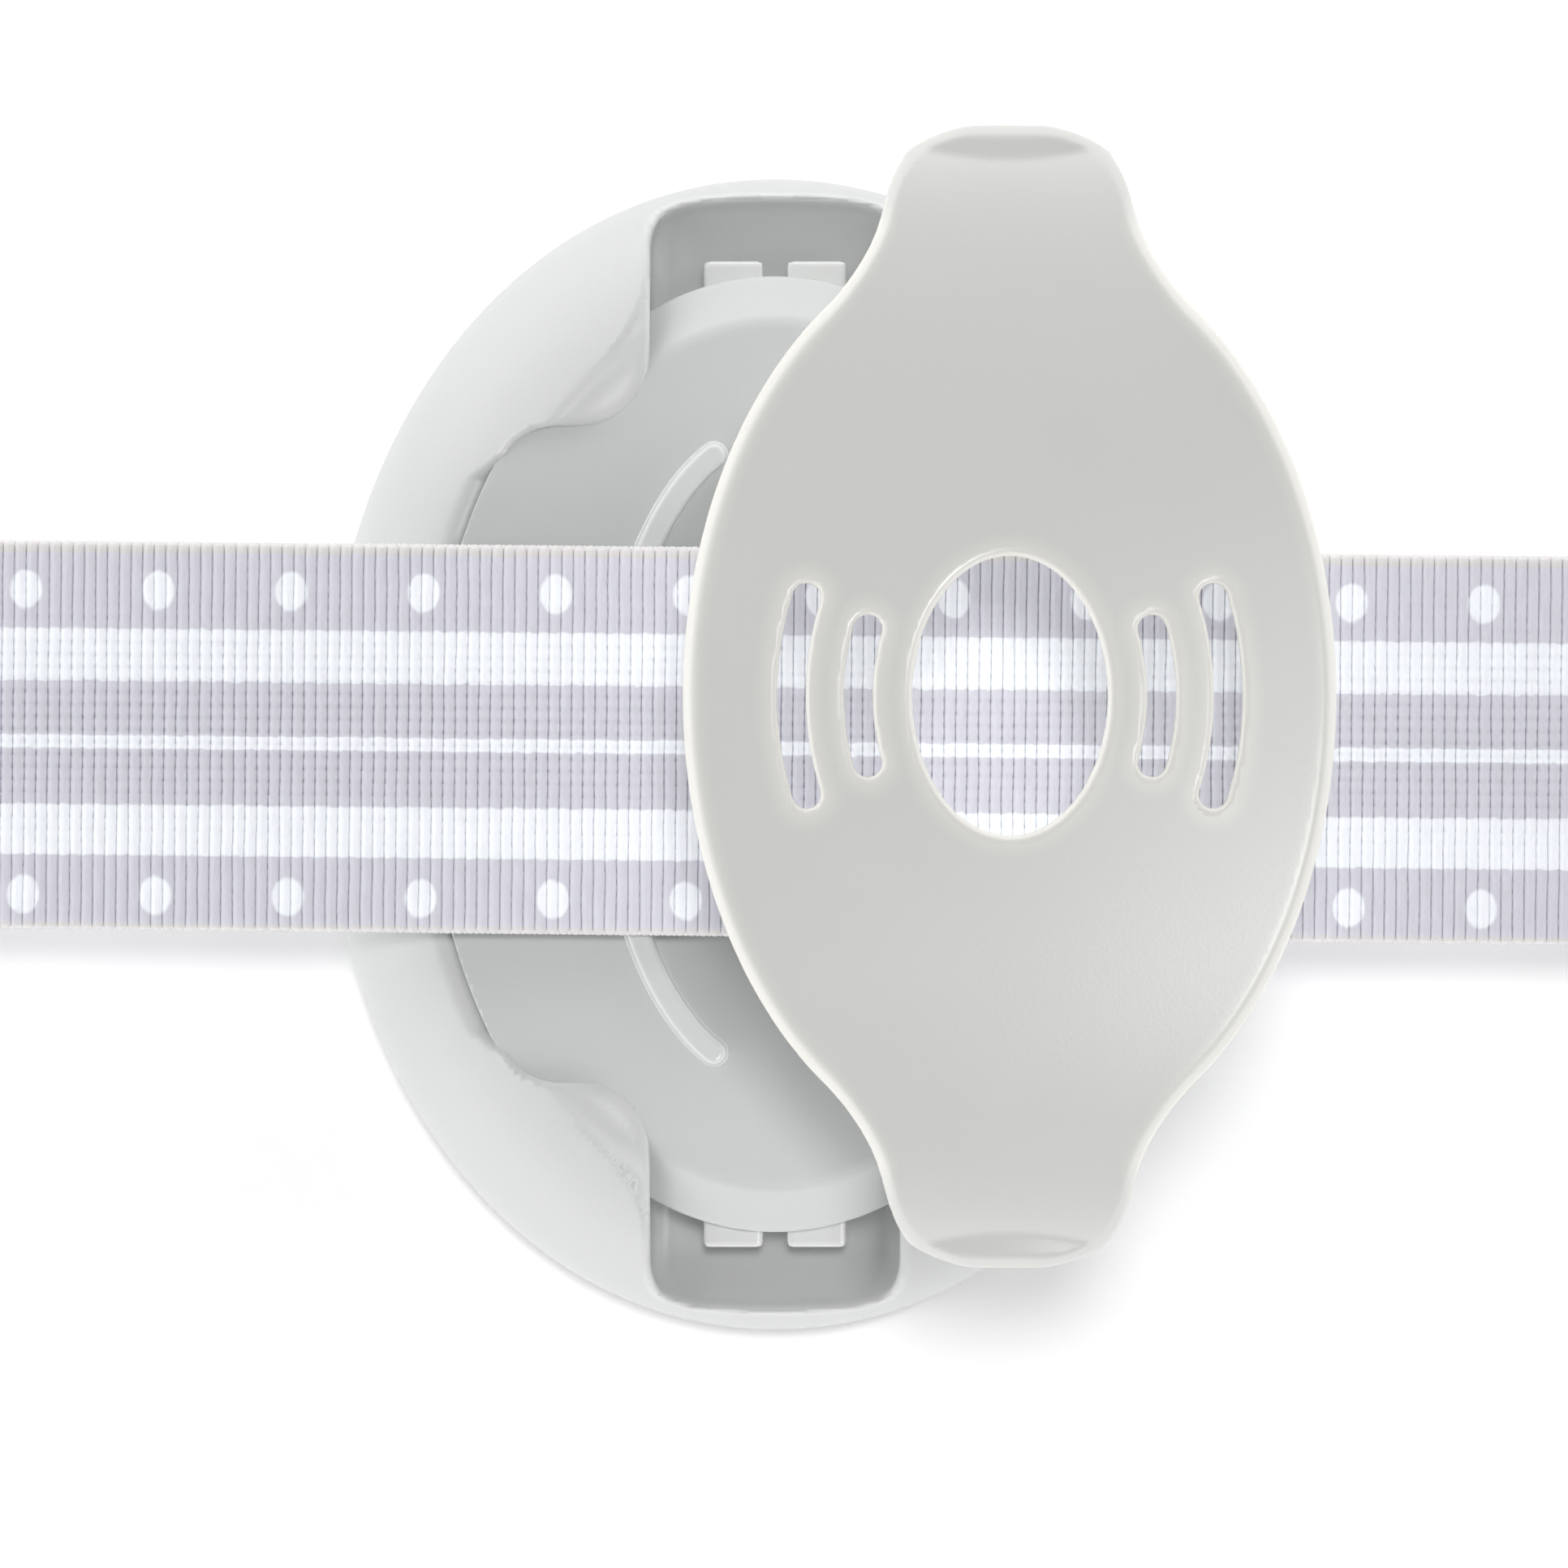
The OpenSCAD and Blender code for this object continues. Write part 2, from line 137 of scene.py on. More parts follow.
class LatchDeckSizes(bpy.types.PropertyGroup):
    inlet: length("Inlet", "How far the platform's sides reach into the case's wall", 0.5)
    top_l: length("Top length", "Length of the platform's level top", 56.4)
    bevel_drop: length("Bevel drop", "Drop of the bevel at each end of the platform", 2.4)
    edge_r: length("Edge rounding", "Rounding of the platform's edges", 0.3)
    rib_x: length("Rib oval width", "Half width of the oval that the grip ribs follow", 10.7)
    rib_y: length("Rib oval length", "Half length of the same oval", 20.9)
    rib_t: length("Rib width", "Width of a grip rib", 1.7)
    rib_r: length("Rib rounding", "Rounding of a grip rib's upper edges", 0.42)
    rib_reach: length("Rib reach", "Half length of a grip rib", 19.4)
    lug_w: length("Lug width", "Width of a catch lug", 3.85)
    lug_gap: length("Lug gap", "Gap between the two lugs of a pair", 1.6)
    lug_t: length("Lug thickness", "Thickness of a catch lug", 1.6)


class LatchCoverSizes(bpy.types.PropertyGroup):
    oval_l: length("Oval length", "Length of the plate's oval", 59.4)
    tab_w: length("Tab width", "Width of a tab", 15.9)
    tab_corner: length("Tab corner", "Cut across a tab's corners", 3.05)
    tab_fillet: length("Tab fillet", "Fillet where a tab joins the oval", 3.7)
    thick: length("Thickness", "Thickness of the plate", 1.4)
    drop: length("Arch drop", "Drop that sets how strongly the plate arches", 13.5)
    arch_past: length("Arch past the tab", "How far past a tab the arch would stand upright", 2.25)
    side_fall: length("Side fall", "How far the plate's sides hang below its middle", 0.9)
    ledge_l: length("Ledge length", "Length of the thumb ledge at the end of a tab", 2.2)
    top_r: length("Top rounding", "Rounding of the plate's upper edge", 1.0)
    low_r: length("Lower rounding", "Rounding of the plate's lower edge", 0.3)
    hole_w: length("Window width", "Width of the oval window", 12.3)
    hole_l: length("Window length", "Length of the oval window", 17.6)
    hole_r: length("Window rounding", "Rounding of the window's edges", 0.5)
    slot_w: length("Slot width", "Width of a curved slot", 1.8)
    slot_r: length("Slot rounding", "Rounding of the slots' edges", 0.34)
    slot_in_x: length("Inner slots", "Distance of the inner slots from the middle", 9.55)
    slot_out_x: length("Outer slots", "Distance of the outer slots from the middle", 13.75)
    # The pale rim is a band of painted highlight along the plate's outline, window and slots.
    rim_w: length("Pale rim", "Width of the paler rim round the plate, its window and its slots", 1.7)
    rim_end: length("Pale rim end", "How far from the plate's middle its pale rim starts to fade", 29.5)
    hook_t: length("Hook thickness", "Thickness of a snap hook's arm", 1.1)
    hook_w: length("Hook width", "Width of a snap hook", 9.4)


class LatchStrapSizes(bpy.types.PropertyGroup):
    weft_pitch: length("Weft pitch", "Spacing of the threads across the strap", 0.755)
    weft_w: length("Weft width", "Width of a thread across the strap", 0.8)
    spread: length("Spread", "How much wider the woven strap lies than its nominal width", 0.3)
    shift: length("Shift", "How far the strap lies off its middle line", 0.16)
    weft_t: length("Weft thickness", "Thickness of a thread across the strap", 0.42)
    warp_pitch: length("Warp pitch", "Spacing of the threads along the strap", 0.8)
    wave: length("Weft wave", "How far a weft thread rises over a warp thread", 0.05)
    wander: length("Wander", "How far a thread strays from its line", 0.16)
    tilt: bpy.props.FloatProperty(
        name="Tilt", description="Turn of the strap about the upright axis",
        default=math.radians(-0.6), subtype="ANGLE",
    )


class LatchColours(bpy.types.PropertyGroup):
    case: colour("Case", "Satin plastic of the case", (0.578, 0.588, 0.583))
    platform: colour("Platform", "Satin plastic of the platform", (0.56, 0.572, 0.572))
    cover: colour("Cover plate", "Satin plastic of the cover plate", (0.59, 0.594, 0.574))
    # The next two colours are painted highlight: pale tones laid along thin edges, cool on the case and its
    # small pieces and warm round the cover plate's rim.
    edge: colour("Pale edges", "Cool pale tone of the thin edges of the case and its small pieces",
                 (0.78, 0.79, 0.78))
    warm_edge_highlight: colour("Warm edges", "Warm pale tone of the cover plate's rim", (0.82, 0.795, 0.74))
    catch: colour("Catch", "Natural plastic of the catch frame", (0.72, 0.73, 0.72))
    rib: colour("Grip rib", "Soft plastic of the grip ribs", (0.62, 0.63, 0.63))
    hook: colour("Hook", "Plastic of the snap hooks", (0.62, 0.63, 0.62))
    base: colour("Base", "Plastic of the base plate", (0.55, 0.56, 0.56))
    foam: colour("Foam", "Foam of the sticky pad", (0.78, 0.78, 0.76))
    cloth: colour("Cloth", "Ground colour of the printed strap", (0.67, 0.665, 0.735))
    band: colour("Bands", "Bands and dots printed on the strap", (0.93, 0.955, 1.0))
    selvedge: colour("Selvedge", "Unprinted edges of the strap", (0.68, 0.66, 0.66))
    floor: colour("Floor", "Pale studio floor", (0.95, 0.95, 0.95))


def in_mm(group):
    """A property group's lengths, in millimetres."""
    return SimpleNamespace(**{name: getattr(group, name) / MM for name in group.__annotations__})


# ---------------------------------------------------------------- moulded shapes
# A moulded shape is a field over x, y and z in millimetres: negative inside, positive outside, and
# close to the true distance near the surface. The sizes that stand above a shape are in millimetres.

def round_both(a, b, r):
    """What two shapes share, with its edges rounded to the radius r."""
    return np.minimum(-r, np.maximum(a, b)) + np.hypot(np.maximum(r + a, 0), np.maximum(r + b, 0))


def round_either(a, b, r):
    """Two shapes joined, with a fillet of the radius r."""
    return np.maximum(r, np.minimum(a, b)) - np.hypot(np.maximum(r - a, 0), np.maximum(r - b, 0))


def oval_side(x, y, a, b):
    """Distance out from the side of an oval of half width a and half length b."""
    k = np.sqrt((x / a) ** 2 + (y / b) ** 2)
    slope = np.sqrt((x / a**2) ** 2 + (y / b**2) ** 2)
    return k * (k - 1) / np.maximum(slope, 1e-6)


def box_side(x, y, a, b, r):
    """Distance out from the side of a rectangle with corners of radius r."""
    dx = np.abs(x) - (a - r)
    dy = np.abs(y) - (b - r)
    return np.hypot(np.maximum(dx, 0), np.maximum(dy, 0)) + np.minimum(np.maximum(dx, dy), 0) - r


def inset(x, y, a, b, power=2.05, tries=24):
    """How far in from the side of a full oval a point lies, by halving."""
    x, y = np.broadcast_arrays(np.abs(x), np.abs(y))
    low = np.full(x.shape, -12.0)
    high = np.full(x.shape, a - 0.5)
    for _ in range(tries):
        mid = (low + high) / 2
        outside = (x / (a - mid)) ** power + (y / (b - mid)) ** power > 1
        high = np.where(outside, mid, high)
        low = np.where(outside, low, mid)
    return (low + high) / 2


def dome_side(depth, z, start, rise, reach):
    """Distance out from a dome: upright up to start, then a quarter ellipse inwards."""
    u = np.maximum(reach - depth, 0)
    w = np.maximum(z - start, 0)
    k = np.sqrt((u / reach) ** 2 + (w / rise) ** 2)
    slope = np.sqrt((u / reach**2) ** 2 + (w / rise**2) ** 2)
    return np.where(k < 1e-3, -min(rise, reach), k * (k - 1) / np.maximum(slope, 1e-6))


def dome_height(depth, start, rise, reach):
    """Height of a dome at a depth in from its side."""
    return start + rise * math.sqrt(1 - (1 - min(depth / reach, 1)) ** 2)


def opening_side(x, y, grow, s):
    """Distance out from the case's opening: the strap bay, the two pockets and the flank corners."""
    recess = oval_side(x, y, s.recess_w / 2 + grow, s.recess_l / 2 + grow)
    bay = round_both(recess, np.abs(y) - s.bay_l / 2 - grow, s.bay_r)
    pocket_end = CASE_HIGH[1] - s.rim_band
    pocket = box_side(x, y, s.pocket_w / 2 + grow, pocket_end + grow, s.pocket_r + grow)
    return round_either(bay, pocket, s.flank_r - grow)


FACET_INNER = 1.55, 5.4        # a facet's crease runs from here, measured out from the pocket and the bay
FACET_OUTER = 5.55, 0.75       # to here
FACET_TILT = 0.97              # cosine of a facet's mean slope
FACET_INTO_BAY = 1.0           # how far a facet reaches past the end of the strap bay


def facet_side(x, y, z, s):
    """Distance down from the hollow facets that slope the flanks' inner corners to the pockets."""
    corner = np.array([s.pocket_w / 2, s.bay_l / 2])
    inner, outer = corner + FACET_INNER, corner + FACET_OUTER
    along = (outer - inner) / np.linalg.norm(outer - inner)
    start = dome_height(s.facet_in, CASE_LOW[2] + s.side_h, s.dome_rise, s.dome_reach)
    inwards = (np.abs(x) - inner[0]) * along[1] - (np.abs(y) - inner[1]) * along[0]
    to_foot = 1 - np.minimum(inwards / s.facet_w, 1)
    surface = start - s.facet_drop * (1 - to_foot**2)
    return np.maximum((surface - z) * FACET_TILT, s.bay_l / 2 - FACET_INTO_BAY - np.abs(y))


def case_field(s, cover):
    """The case: a dome with facets, the plate's seat and the tub cut into it and a hollow underneath."""
    a, b = CASE_HIGH[0], CASE_HIGH[1]
    start = CASE_LOW[2] + s.side_h
    floor = CATCH_LOW[2]

    def field(x, y, z):
        dome = dome_side(inset(x, y, a, b), z, start, s.dome_rise, s.dome_reach)
        body = round_both(dome, CASE_LOW[2] - z, s.hem_r)
        way = opening_side(x, y, 0, s)
        scoop = round_both(np.abs(y) - (b - s.rim_band + s.scoop_out), floor - z, s.scoop_r)
        tub = round_both(way, scoop, s.floor_r)
        in_bay = np.clip((s.bay_l / 2 - s.bay_r - np.abs(y)) / s.bay_r, 0, 1)
        top = round_both(body, -facet_side(x, y, z, s), s.facet_r)
        seat = np.maximum(plate_outline(x, y, cover) - s.seat_gap, under_plate(x, y, z, cover) - s.seat_gap)
        top = round_both(top, -seat, s.seat_r)
        shell = round_both(top, -tub, s.lip_r + s.bay_lip * in_bay)
        inner = dome_side(
            inset(x, y, a - s.wall, b - s.wall), z, start, s.dome_rise - s.wall, s.dome_reach - s.wall
        )
        tub_block = np.maximum(way - s.tub_wall, BASE_HIGH[2] - z)
        return np.maximum(shell, -np.maximum(inner, -tub_block))

    return field


NOSE_START = 0.6               # how far into a pocket the platform's nose starts
WELL_INSIDE = -5.0             # a field's value where its surface plays no part


def deck_nose(x, y, half_l, s, step_in=0.0):
    """Distance out from the oval that ends the platform in each pocket, set in by step_in."""
    nose = oval_side(x, y, s.recess_w / 2, half_l) + step_in
    return np.where(np.abs(y) > s.bay_l / 2 + NOSE_START, nose, WELL_INSIDE)


def deck_outline(x, y, half_l, s, deck):
    """Distance out from the platform's outline: the bay, with an oval nose into each pocket."""
    return np.maximum(opening_side(x, y, deck.inlet, s), deck_nose(x, y, half_l, s))


def platform_field(s, deck):
    """The platform, with sloping ends."""
    top, low = DECK_HIGH[2], DECK_LOW[2]
    half_l = DECK_HIGH[1]
    slope_in = half_l - deck.top_l / 2

    def field(x, y, z):
        fall = (z - (top - deck.bevel_drop)) / deck.bevel_drop * slope_in
        turn = math.cos(math.atan(slope_in / deck.bevel_drop))
        bevel = deck_nose(x, y, half_l, s, np.maximum(fall, 0)) * turn
        ends = round_both(deck_nose(x, y, half_l, s), z - top, deck.edge_r)
        ends = round_both(ends, bevel, deck.edge_r)
        body = np.maximum(ends, opening_side(x, y, deck.inlet, s))
        return np.maximum(body, low - z)

    return field


def rib_side(x, y, deck):
    """Distance from the middle line of a grip rib, with its round ends."""
    reach = math.asin(deck.rib_reach / deck.rib_y)
    end = deck.rib_x * math.cos(reach), deck.rib_reach
    across = np.abs(oval_side(x, y, deck.rib_x, deck.rib_y))
    ahead, out = np.abs(y) - end[1], x - end[0]
    past = ahead * math.cos(reach) * deck.rib_y - out * deck.rib_x * math.sin(reach)
    return np.where(past > 0, np.hypot(out, ahead), across)


RIB_INSET = 0.05               # how far a rib's back stands in from its nominal width
FOOT_OUT = 0.12                # reach of the thin foot round a rib
FOOT_H = 0.06                  # height of that foot over the platform
FOOT_R = 0.05                  # rounding of its edge
FOOT_FILLET = 0.25             # fillet between a rib and its foot
FOOT_ROOM = 0.2                # room for the foot round a rib's box
RIB_CLEAR = 0.02               # gap under a rib


def rib_field(deck, side):
    """A grip rib with a rounded back and a thin foot on the platform."""
    def field(x, y, z):
        away = rib_side(x * side, y, deck)
        bar = round_both(away - deck.rib_t / 2 + RIB_INSET, z - RIB_HIGH[2], deck.rib_r)
        foot = round_both(away - deck.rib_t / 2 - FOOT_OUT, z - DECK_HIGH[2] - FOOT_H, FOOT_R)
        return np.maximum(round_either(bar, foot, FOOT_FILLET), RIB_LOW[2] + RIB_CLEAR - z)

    return field


CATCH_IN = 0.8                 # how far the catch frame's block stays inside the platform's ends
LUG_CORNER = 0.3               # radius of a lug's corners, seen from above
LUG_EDGE = 0.25                # rounding of a lug's edges
LUG_FILLET = 0.2               # fillet between the lugs and the block


def catch_field(s, deck):
    """The catch frame: a block under the platform with two pairs of lugs."""
    def field(x, y, z):
        block = deck_outline(x, y, DECK_HIGH[1] - CATCH_IN, s, deck)
        block = np.maximum(block, np.maximum(z - CATCH_HIGH[2], CATCH_LOW[2] - z))
        mid = (deck.lug_gap + deck.lug_w) / 2
        lug = round_both(
            box_side(np.abs(x) - mid, y, deck.lug_w / 2, CATCH_HIGH[1], LUG_CORNER),
            np.abs(z - (CATCH_HIGH[2] - deck.lug_t / 2)) - deck.lug_t / 2, LUG_EDGE,
        )
        return round_either(block, lug, LUG_FILLET)

    return field


ARCH_POWER = 2.4               # 2 would make the arch a quarter of an ellipse
ARCH_END = 0.985               # share of the arch that is used, short of where it stands upright
LEDGE_SLOPE = 0.2              # fall of a thumb ledge towards the end of its tab
LEDGE_CROWN = 0.011            # fall of a thumb ledge with the square of the distance sideways
LEDGE_SOFT = 0.12              # softness of the line between the arch and a ledge


def arch_top(y, cover):
    """Height of the seated plate's arch at a distance y from its middle."""
    crown = COVER_HIGH[2] - LIFT[2]
    past = COVER_HIGH[1] - LIFT[1] + cover.arch_past
    share = np.minimum(np.abs(y) / past, ARCH_END)
    return crown - cover.drop * (1 - (1 - share**ARCH_POWER) ** (1 / ARCH_POWER))


def plate_top(x, y, cover):
    """Height of the seated plate's top, with the thumb ledges and the fall towards its sides."""
    start = COVER_HIGH[1] - LIFT[1] - cover.ledge_l
    arch = arch_top(y, cover)
    ledge = arch_top(start, cover) - LEDGE_SLOPE * (np.abs(y) - start) - LEDGE_CROWN * x**2
    # Farther in the ledge's plane would rise above the arch, so there it is put out of the way.
    ledge = np.where(np.abs(y) > start - 2 * cover.ledge_l, ledge, 0.0)
    share = np.clip(0.5 + (arch - ledge) / (2 * LEDGE_SOFT), 0, 1)
    top = ledge + (arch - ledge) * share + LEDGE_SOFT * share * (1 - share)
    fall = cover.side_fall * (x / (COVER_HIGH[0] - LIFT[0])) ** 2
    return top - fall


def plate_slope(x, y, cover):
    """Cosine of the slope of the plate's top along its length."""
    step = 0.01
    rise = (plate_top(x, y + step, cover) - plate_top(x, y - step, cover)) / (2 * step)
    return 1 / np.sqrt(1 + rise**2)


def under_plate(x, y, z, cover):
    """Distance down from the seated plate's underside."""
    return (plate_top(x, y, cover) - cover.thick - z) * plate_slope(x, y, cover)


TAB_R = 1.2                    # radius of a tab's corners
TAB_CUT_R = 2.2                # rounding of the cuts across them


def plate_outline(x, y, cover):
    """Distance out from the plate's outline: an oval, a tab at each end and a fillet in each corner."""
    oval = oval_side(x, y, COVER_HIGH[0] - LIFT[0], cover.oval_l / 2)
    end = COVER_HIGH[1] - LIFT[1]
    tab = box_side(x, y, cover.tab_w / 2, end, TAB_R)
    corner = (np.abs(x) + np.abs(y) - (cover.tab_w / 2 + end - cover.tab_corner)) / math.sqrt(2)
    tab = round_both(tab, corner, TAB_CUT_R)
    return round_either(oval, tab, cover.tab_fillet)


def arc_side(x, y, mid, r, half_l):
    """Distance from an arc of radius r that bulges away from the middle."""
    reach = math.asin(half_l / r)
    centre = mid - r
    end = centre + r * math.cos(reach), half_l
    away = np.abs(np.hypot(x - centre, y) - r)
    tip = np.hypot(x - end[0], np.abs(y) - end[1])
    past = np.abs(y) * math.cos(reach) - (x - centre) * math.sin(reach) > 0
    return np.where(past, tip, away)


SLOT_IN = 15.0, 4.2            # radius and half length of the inner slots' middle line
SLOT_OUT = 20.8, 6.2           # and of the outer ones'
RIM_FADE = 0.5                 # how fast the plate's band of painted highlight gets narrower past its end
PRESS_GAP = 0.12               # gap between the press ribs and the strap
PRESS_HALF = 0.5               # half width of a press rib
SADDLE_HALF = 0.9              # half length of the saddle over a hook's root
LOW_EDGE = 0.2                 # rounding of the press ribs and of the saddles' corners
LOW_FILLET = 0.3               # fillet where they join the plate
ROOT_IN = 0.55                 # how far a hook's round root lies in from the box round the hook
ROOT_GAP = 0.05                # gap round that root


def hinge_place():
    """Distance from the plate's middle and height of the hooks' round roots, with the plate seated."""
    return HOOK_HIGH[1] - LIFT[1] - ROOT_IN, HOOK_HIGH[2] - LIFT[2] - ROOT_IN


def plate_holes(x, y, cover):
    """Distance in from the sides of the plate's slots, and of its window."""
    inner = arc_side(np.abs(x), y, cover.slot_in_x, *SLOT_IN)
    outer = arc_side(np.abs(x), y, cover.slot_out_x, *SLOT_OUT)
    slots = cover.slot_w / 2 - np.minimum(inner, outer)
    return slots, -oval_side(x, y, cover.hole_w / 2, cover.hole_l / 2)


def cover_rim(cover):
    """Distance out from the cover plate's outline, window and slots, in plan: the band of its painted edge
    highlight.
    """
    def rim(x, y, z):
        x, y = x - LIFT[0], y - LIFT[1]
        side = plate_outline(x, y, cover) - RIM_FADE * np.maximum(np.abs(y) - cover.rim_end, 0)
        return np.maximum(side, np.maximum(*plate_holes(x, y, cover)))

    return rim


def cover_field(cover):
    """The cover plate, with its window, slots, press ribs and the saddles for the hooks."""
    hinge_y, hinge_z = hinge_place()
    press_z = STRAP_HIGH[2] + PRESS_GAP

    def field(x, y, z):
        x, y, z = x - LIFT[0], y - LIFT[1], z - LIFT[2]
        cosine = plate_slope(x, y, cover)
        top = plate_top(x, y, cover)
        outline = plate_outline(x, y, cover)
        body = round_both(outline, (z - top) * cosine, cover.top_r)
        body = round_both(body, (top - cover.thick - z) * cosine, cover.low_r)
        rib = arc_side(np.abs(x), y, (cover.slot_in_x + cover.slot_out_x) / 2,
                       (SLOT_IN[0] + SLOT_OUT[0]) / 2, SLOT_IN[1]) - PRESS_HALF
        rib = round_both(rib, np.maximum(press_z - z, z - top + cover.thick / 2), LOW_EDGE)
        body = round_either(body, rib, LOW_FILLET)
        saddle = box_side(x, np.abs(y) - hinge_y, cover.hook_w / 2, SADDLE_HALF, LOW_EDGE)
        saddle = np.maximum(saddle, np.maximum(hinge_z - z, z - top + cover.thick / 2))
        body = round_either(body, saddle, LOW_FILLET)
        slots, window = plate_holes(x, y, cover)
        body = round_both(body, window, cover.hole_r)
        body = round_both(body, slots, cover.slot_r)
        root = np.hypot(np.abs(y) - hinge_y, z - hinge_z) - cover.hook_t / 2 - ROOT_GAP
        return np.maximum(body, -root)

    return field


BARB_HALF = 0.55               # half height of a hook's barb
BARB_EDGE = 0.1                # rounding of the barb's edges
LEAD_IN = 0.77                 # size of the slanted lead-in on the barb
ARM_EDGE = 0.12                # rounding of the arm's edges and of the lead-in's
BARB_FILLET = 0.25             # fillet between the arm and the barb
HOOK_EDGE = 0.14               # rounding of the hook's two sides


def hook_field(cover, side):
    """A snap hook: a round root, an arm down and a barb turned in under the lugs."""
    hinge_y, hinge_z = hinge_place()
    low = HOOK_LOW[2] - LIFT[2]
    barb_in = HOOK_LOW[1] - LIFT[1]
    half_t = cover.hook_t / 2

    def field(x, y, z):
        x, y, z = x - LIFT[0], (y - LIFT[1]) * side, z - LIFT[2]
        root = np.hypot(y - hinge_y, z - hinge_z) - half_t
        arm = box_side(y - hinge_y, z - (hinge_z + low) / 2, half_t, (hinge_z - low) / 2, ARM_EDGE)
        mid_y, reach = (barb_in + hinge_y + half_t) / 2, (hinge_y + half_t - barb_in) / 2
        barb = box_side(y - mid_y, z - low - BARB_HALF, reach, BARB_HALF, BARB_EDGE)
        lead = ((barb_in + LEAD_IN - y) + (low + LEAD_IN - z) - LEAD_IN) / math.sqrt(2)
        barb = round_both(barb, lead, ARM_EDGE)
        profile = round_either(np.minimum(root, arm), barb, BARB_FILLET)
        return round_both(profile, np.abs(x) - cover.hook_w / 2, HOOK_EDGE)

    return field


def slab_field(low, high, r):
    """A flat oval slab that fills the box from low to high."""
    middle, half = (low + high) / 2, (high - low) / 2

    def field(x, y, z):
        side = -inset(x - middle[0], y - middle[1], half[0], half[1])
        return round_both(side, np.abs(z - middle[2]) - half[2], r)

    return field


# ---------------------------------------------------------------- from fields to meshes

def crossing_net(value):
    """Vertices, in grid steps, and quads of the surface where a sampled field changes sign."""
    grid = np.array(value.shape)
    cells = grid - 1
    total = np.zeros((3, np.prod(cells)))
    count = np.zeros(np.prod(cells))
    quads = []
    for axis in range(3):
        across, up = (axis + 1) % 3, (axis + 2) % 3
        first = [slice(None)] * 3
        second = [slice(None)] * 3
        first[axis], second[axis] = slice(0, -1), slice(1, None)
        a, b = value[tuple(first)], value[tuple(second)]
        crossed = (a < 0) != (b < 0)
        start = np.argwhere(crossed)
        point = start.astype(float)
        point[:, axis] += a[crossed] / (a[crossed] - b[crossed])
        ring = []
        for du, dv in ((-1, -1), (0, -1), (0, 0), (-1, 0)):
            cell = start.copy()
            cell[:, across] += du
            cell[:, up] += dv
            ring.append(np.ravel_multi_index(cell.T, cells))
        for flat in ring:
            count += np.bincount(flat, minlength=len(count))
            for k in range(3):
                total[k] += np.bincount(flat, weights=point[:, k], minlength=len(count))
        quad = np.stack(ring, 1)
        leaving = a[crossed] < 0
        quads.append(np.where(leaving[:, None], quad, quad[:, ::-1]))
    used = count > 0
    number = np.cumsum(used) - 1
    points = (total[:, used] / count[used]).T
    return points, number[np.concatenate(quads)]


def gradient(field, points, value, step=0.02):
    """Slope of a field at points where it has the given values."""
    slopes = []
    for axis in range(3):
        moved = points.copy()
        moved[:, axis] += step
        slopes.append((field(*moved.T) - value) / step)
    return np.stack(slopes, 1)


def settle(points, quads, field, cell, rounds=3):
    """Evens a net out along the surface and pulls every point onto it. Returns points and normals."""
    edges = np.concatenate([quads[:, [k, (k + 1) % 4]] for k in range(4)])
    degree = np.bincount(edges[:, 0], minlength=len(points))
    for turn in range(rounds + 1):
        value = field(*points.T)
        slope = gradient(field, points, value)
        size = np.maximum((slope**2).sum(1), 1e-6)
        step = np.clip(value / size, -cell / 2, cell / 2)
        points = points - slope * step[:, None]
        if turn == rounds:
            break
        normal = slope / np.sqrt(size)[:, None]
        total = [np.bincount(edges[:, 0], weights=points[edges[:, 1], k], minlength=len(points))
                 for k in range(3)]
        move = np.stack(total, 1) / degree[:, None] - points
        points = points + 0.5 * (move - normal * (move * normal).sum(1)[:, None])
    value = field(*points.T)
    slope = gradient(field, points, value)
    return points, slope / np.maximum(np.linalg.norm(slope, axis=1), 1e-6)[:, None]


MARGIN_CELLS = 2.3             # room for the grid round a piece's box, in cells


def mould(name, field, low, high, cell, edge_reach=0.6, crease_reach=0.6, rim=None, near=None):
    """A mesh object of the surface of a field within the box from low to high, in millimetres.
    Its edge attribute is 1 on an edge and 0 at edge_reach from it, or from the outline rim(x, y, z).
    Its crease attribute grows to 1 where less than crease_reach is open in front of the surface, to
    the piece itself or to the field near(x, y, z) of the piece beside it.
    """
    low = np.array(low) - MARGIN_CELLS * cell
    steps = np.ceil((np.array(high) + MARGIN_CELLS * cell - low) / cell).astype(int) + 1
    axes = [low[k] + cell * np.arange(steps[k]) for k in range(3)]
    value = field(axes[0][:, None, None], axes[1][None, :, None], axes[2][None, None, :])
    points, quads = crossing_net(np.broadcast_to(value, steps))
    points = low + points * cell
    points, normals = settle(points, quads, field, cell)
    # The edge and crease attributes are the masks for the materials' painted edge highlight and painted
    # crease shade.
    buried = rim(*points.T) if rim else field(*(points - normals * edge_reach).T)
    edge = np.clip((buried + edge_reach) / edge_reach, 0, 1)
    ahead = (points + normals * crease_reach).T
    open_to = np.minimum(field(*ahead), near(*ahead)) if near else field(*ahead)
    crease = np.clip((crease_reach - open_to) / crease_reach, 0, 1)
    mesh = bpy.data.meshes.new(name)
    mesh.from_pydata(points * MM, [], quads)
    mesh.shade_smooth()
    mesh.normals_split_custom_set_from_vertices(normals)
    for label, values in (("edge", edge), ("crease", crease)):
        attribute = mesh.attributes.new(label, "FLOAT", "POINT")
        attribute.data.foreach_set("value", values.astype(np.float32))
    piece = bpy.data.objects.new(name, mesh)
    bpy.context.scene.collection.objects.link(piece)
    return piece


def finish_piece(piece, material, body, slot, *nodes):
    """Gives a piece its material, lets it ride on a body and stand for its CAD nodes."""
    if material is not None:
        piece.data.materials.clear()
        piece.data.materials.append(material)
    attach(piece, body)
    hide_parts(*nodes)
    return piece


# ---------------------------------------------------------------- shader node groups

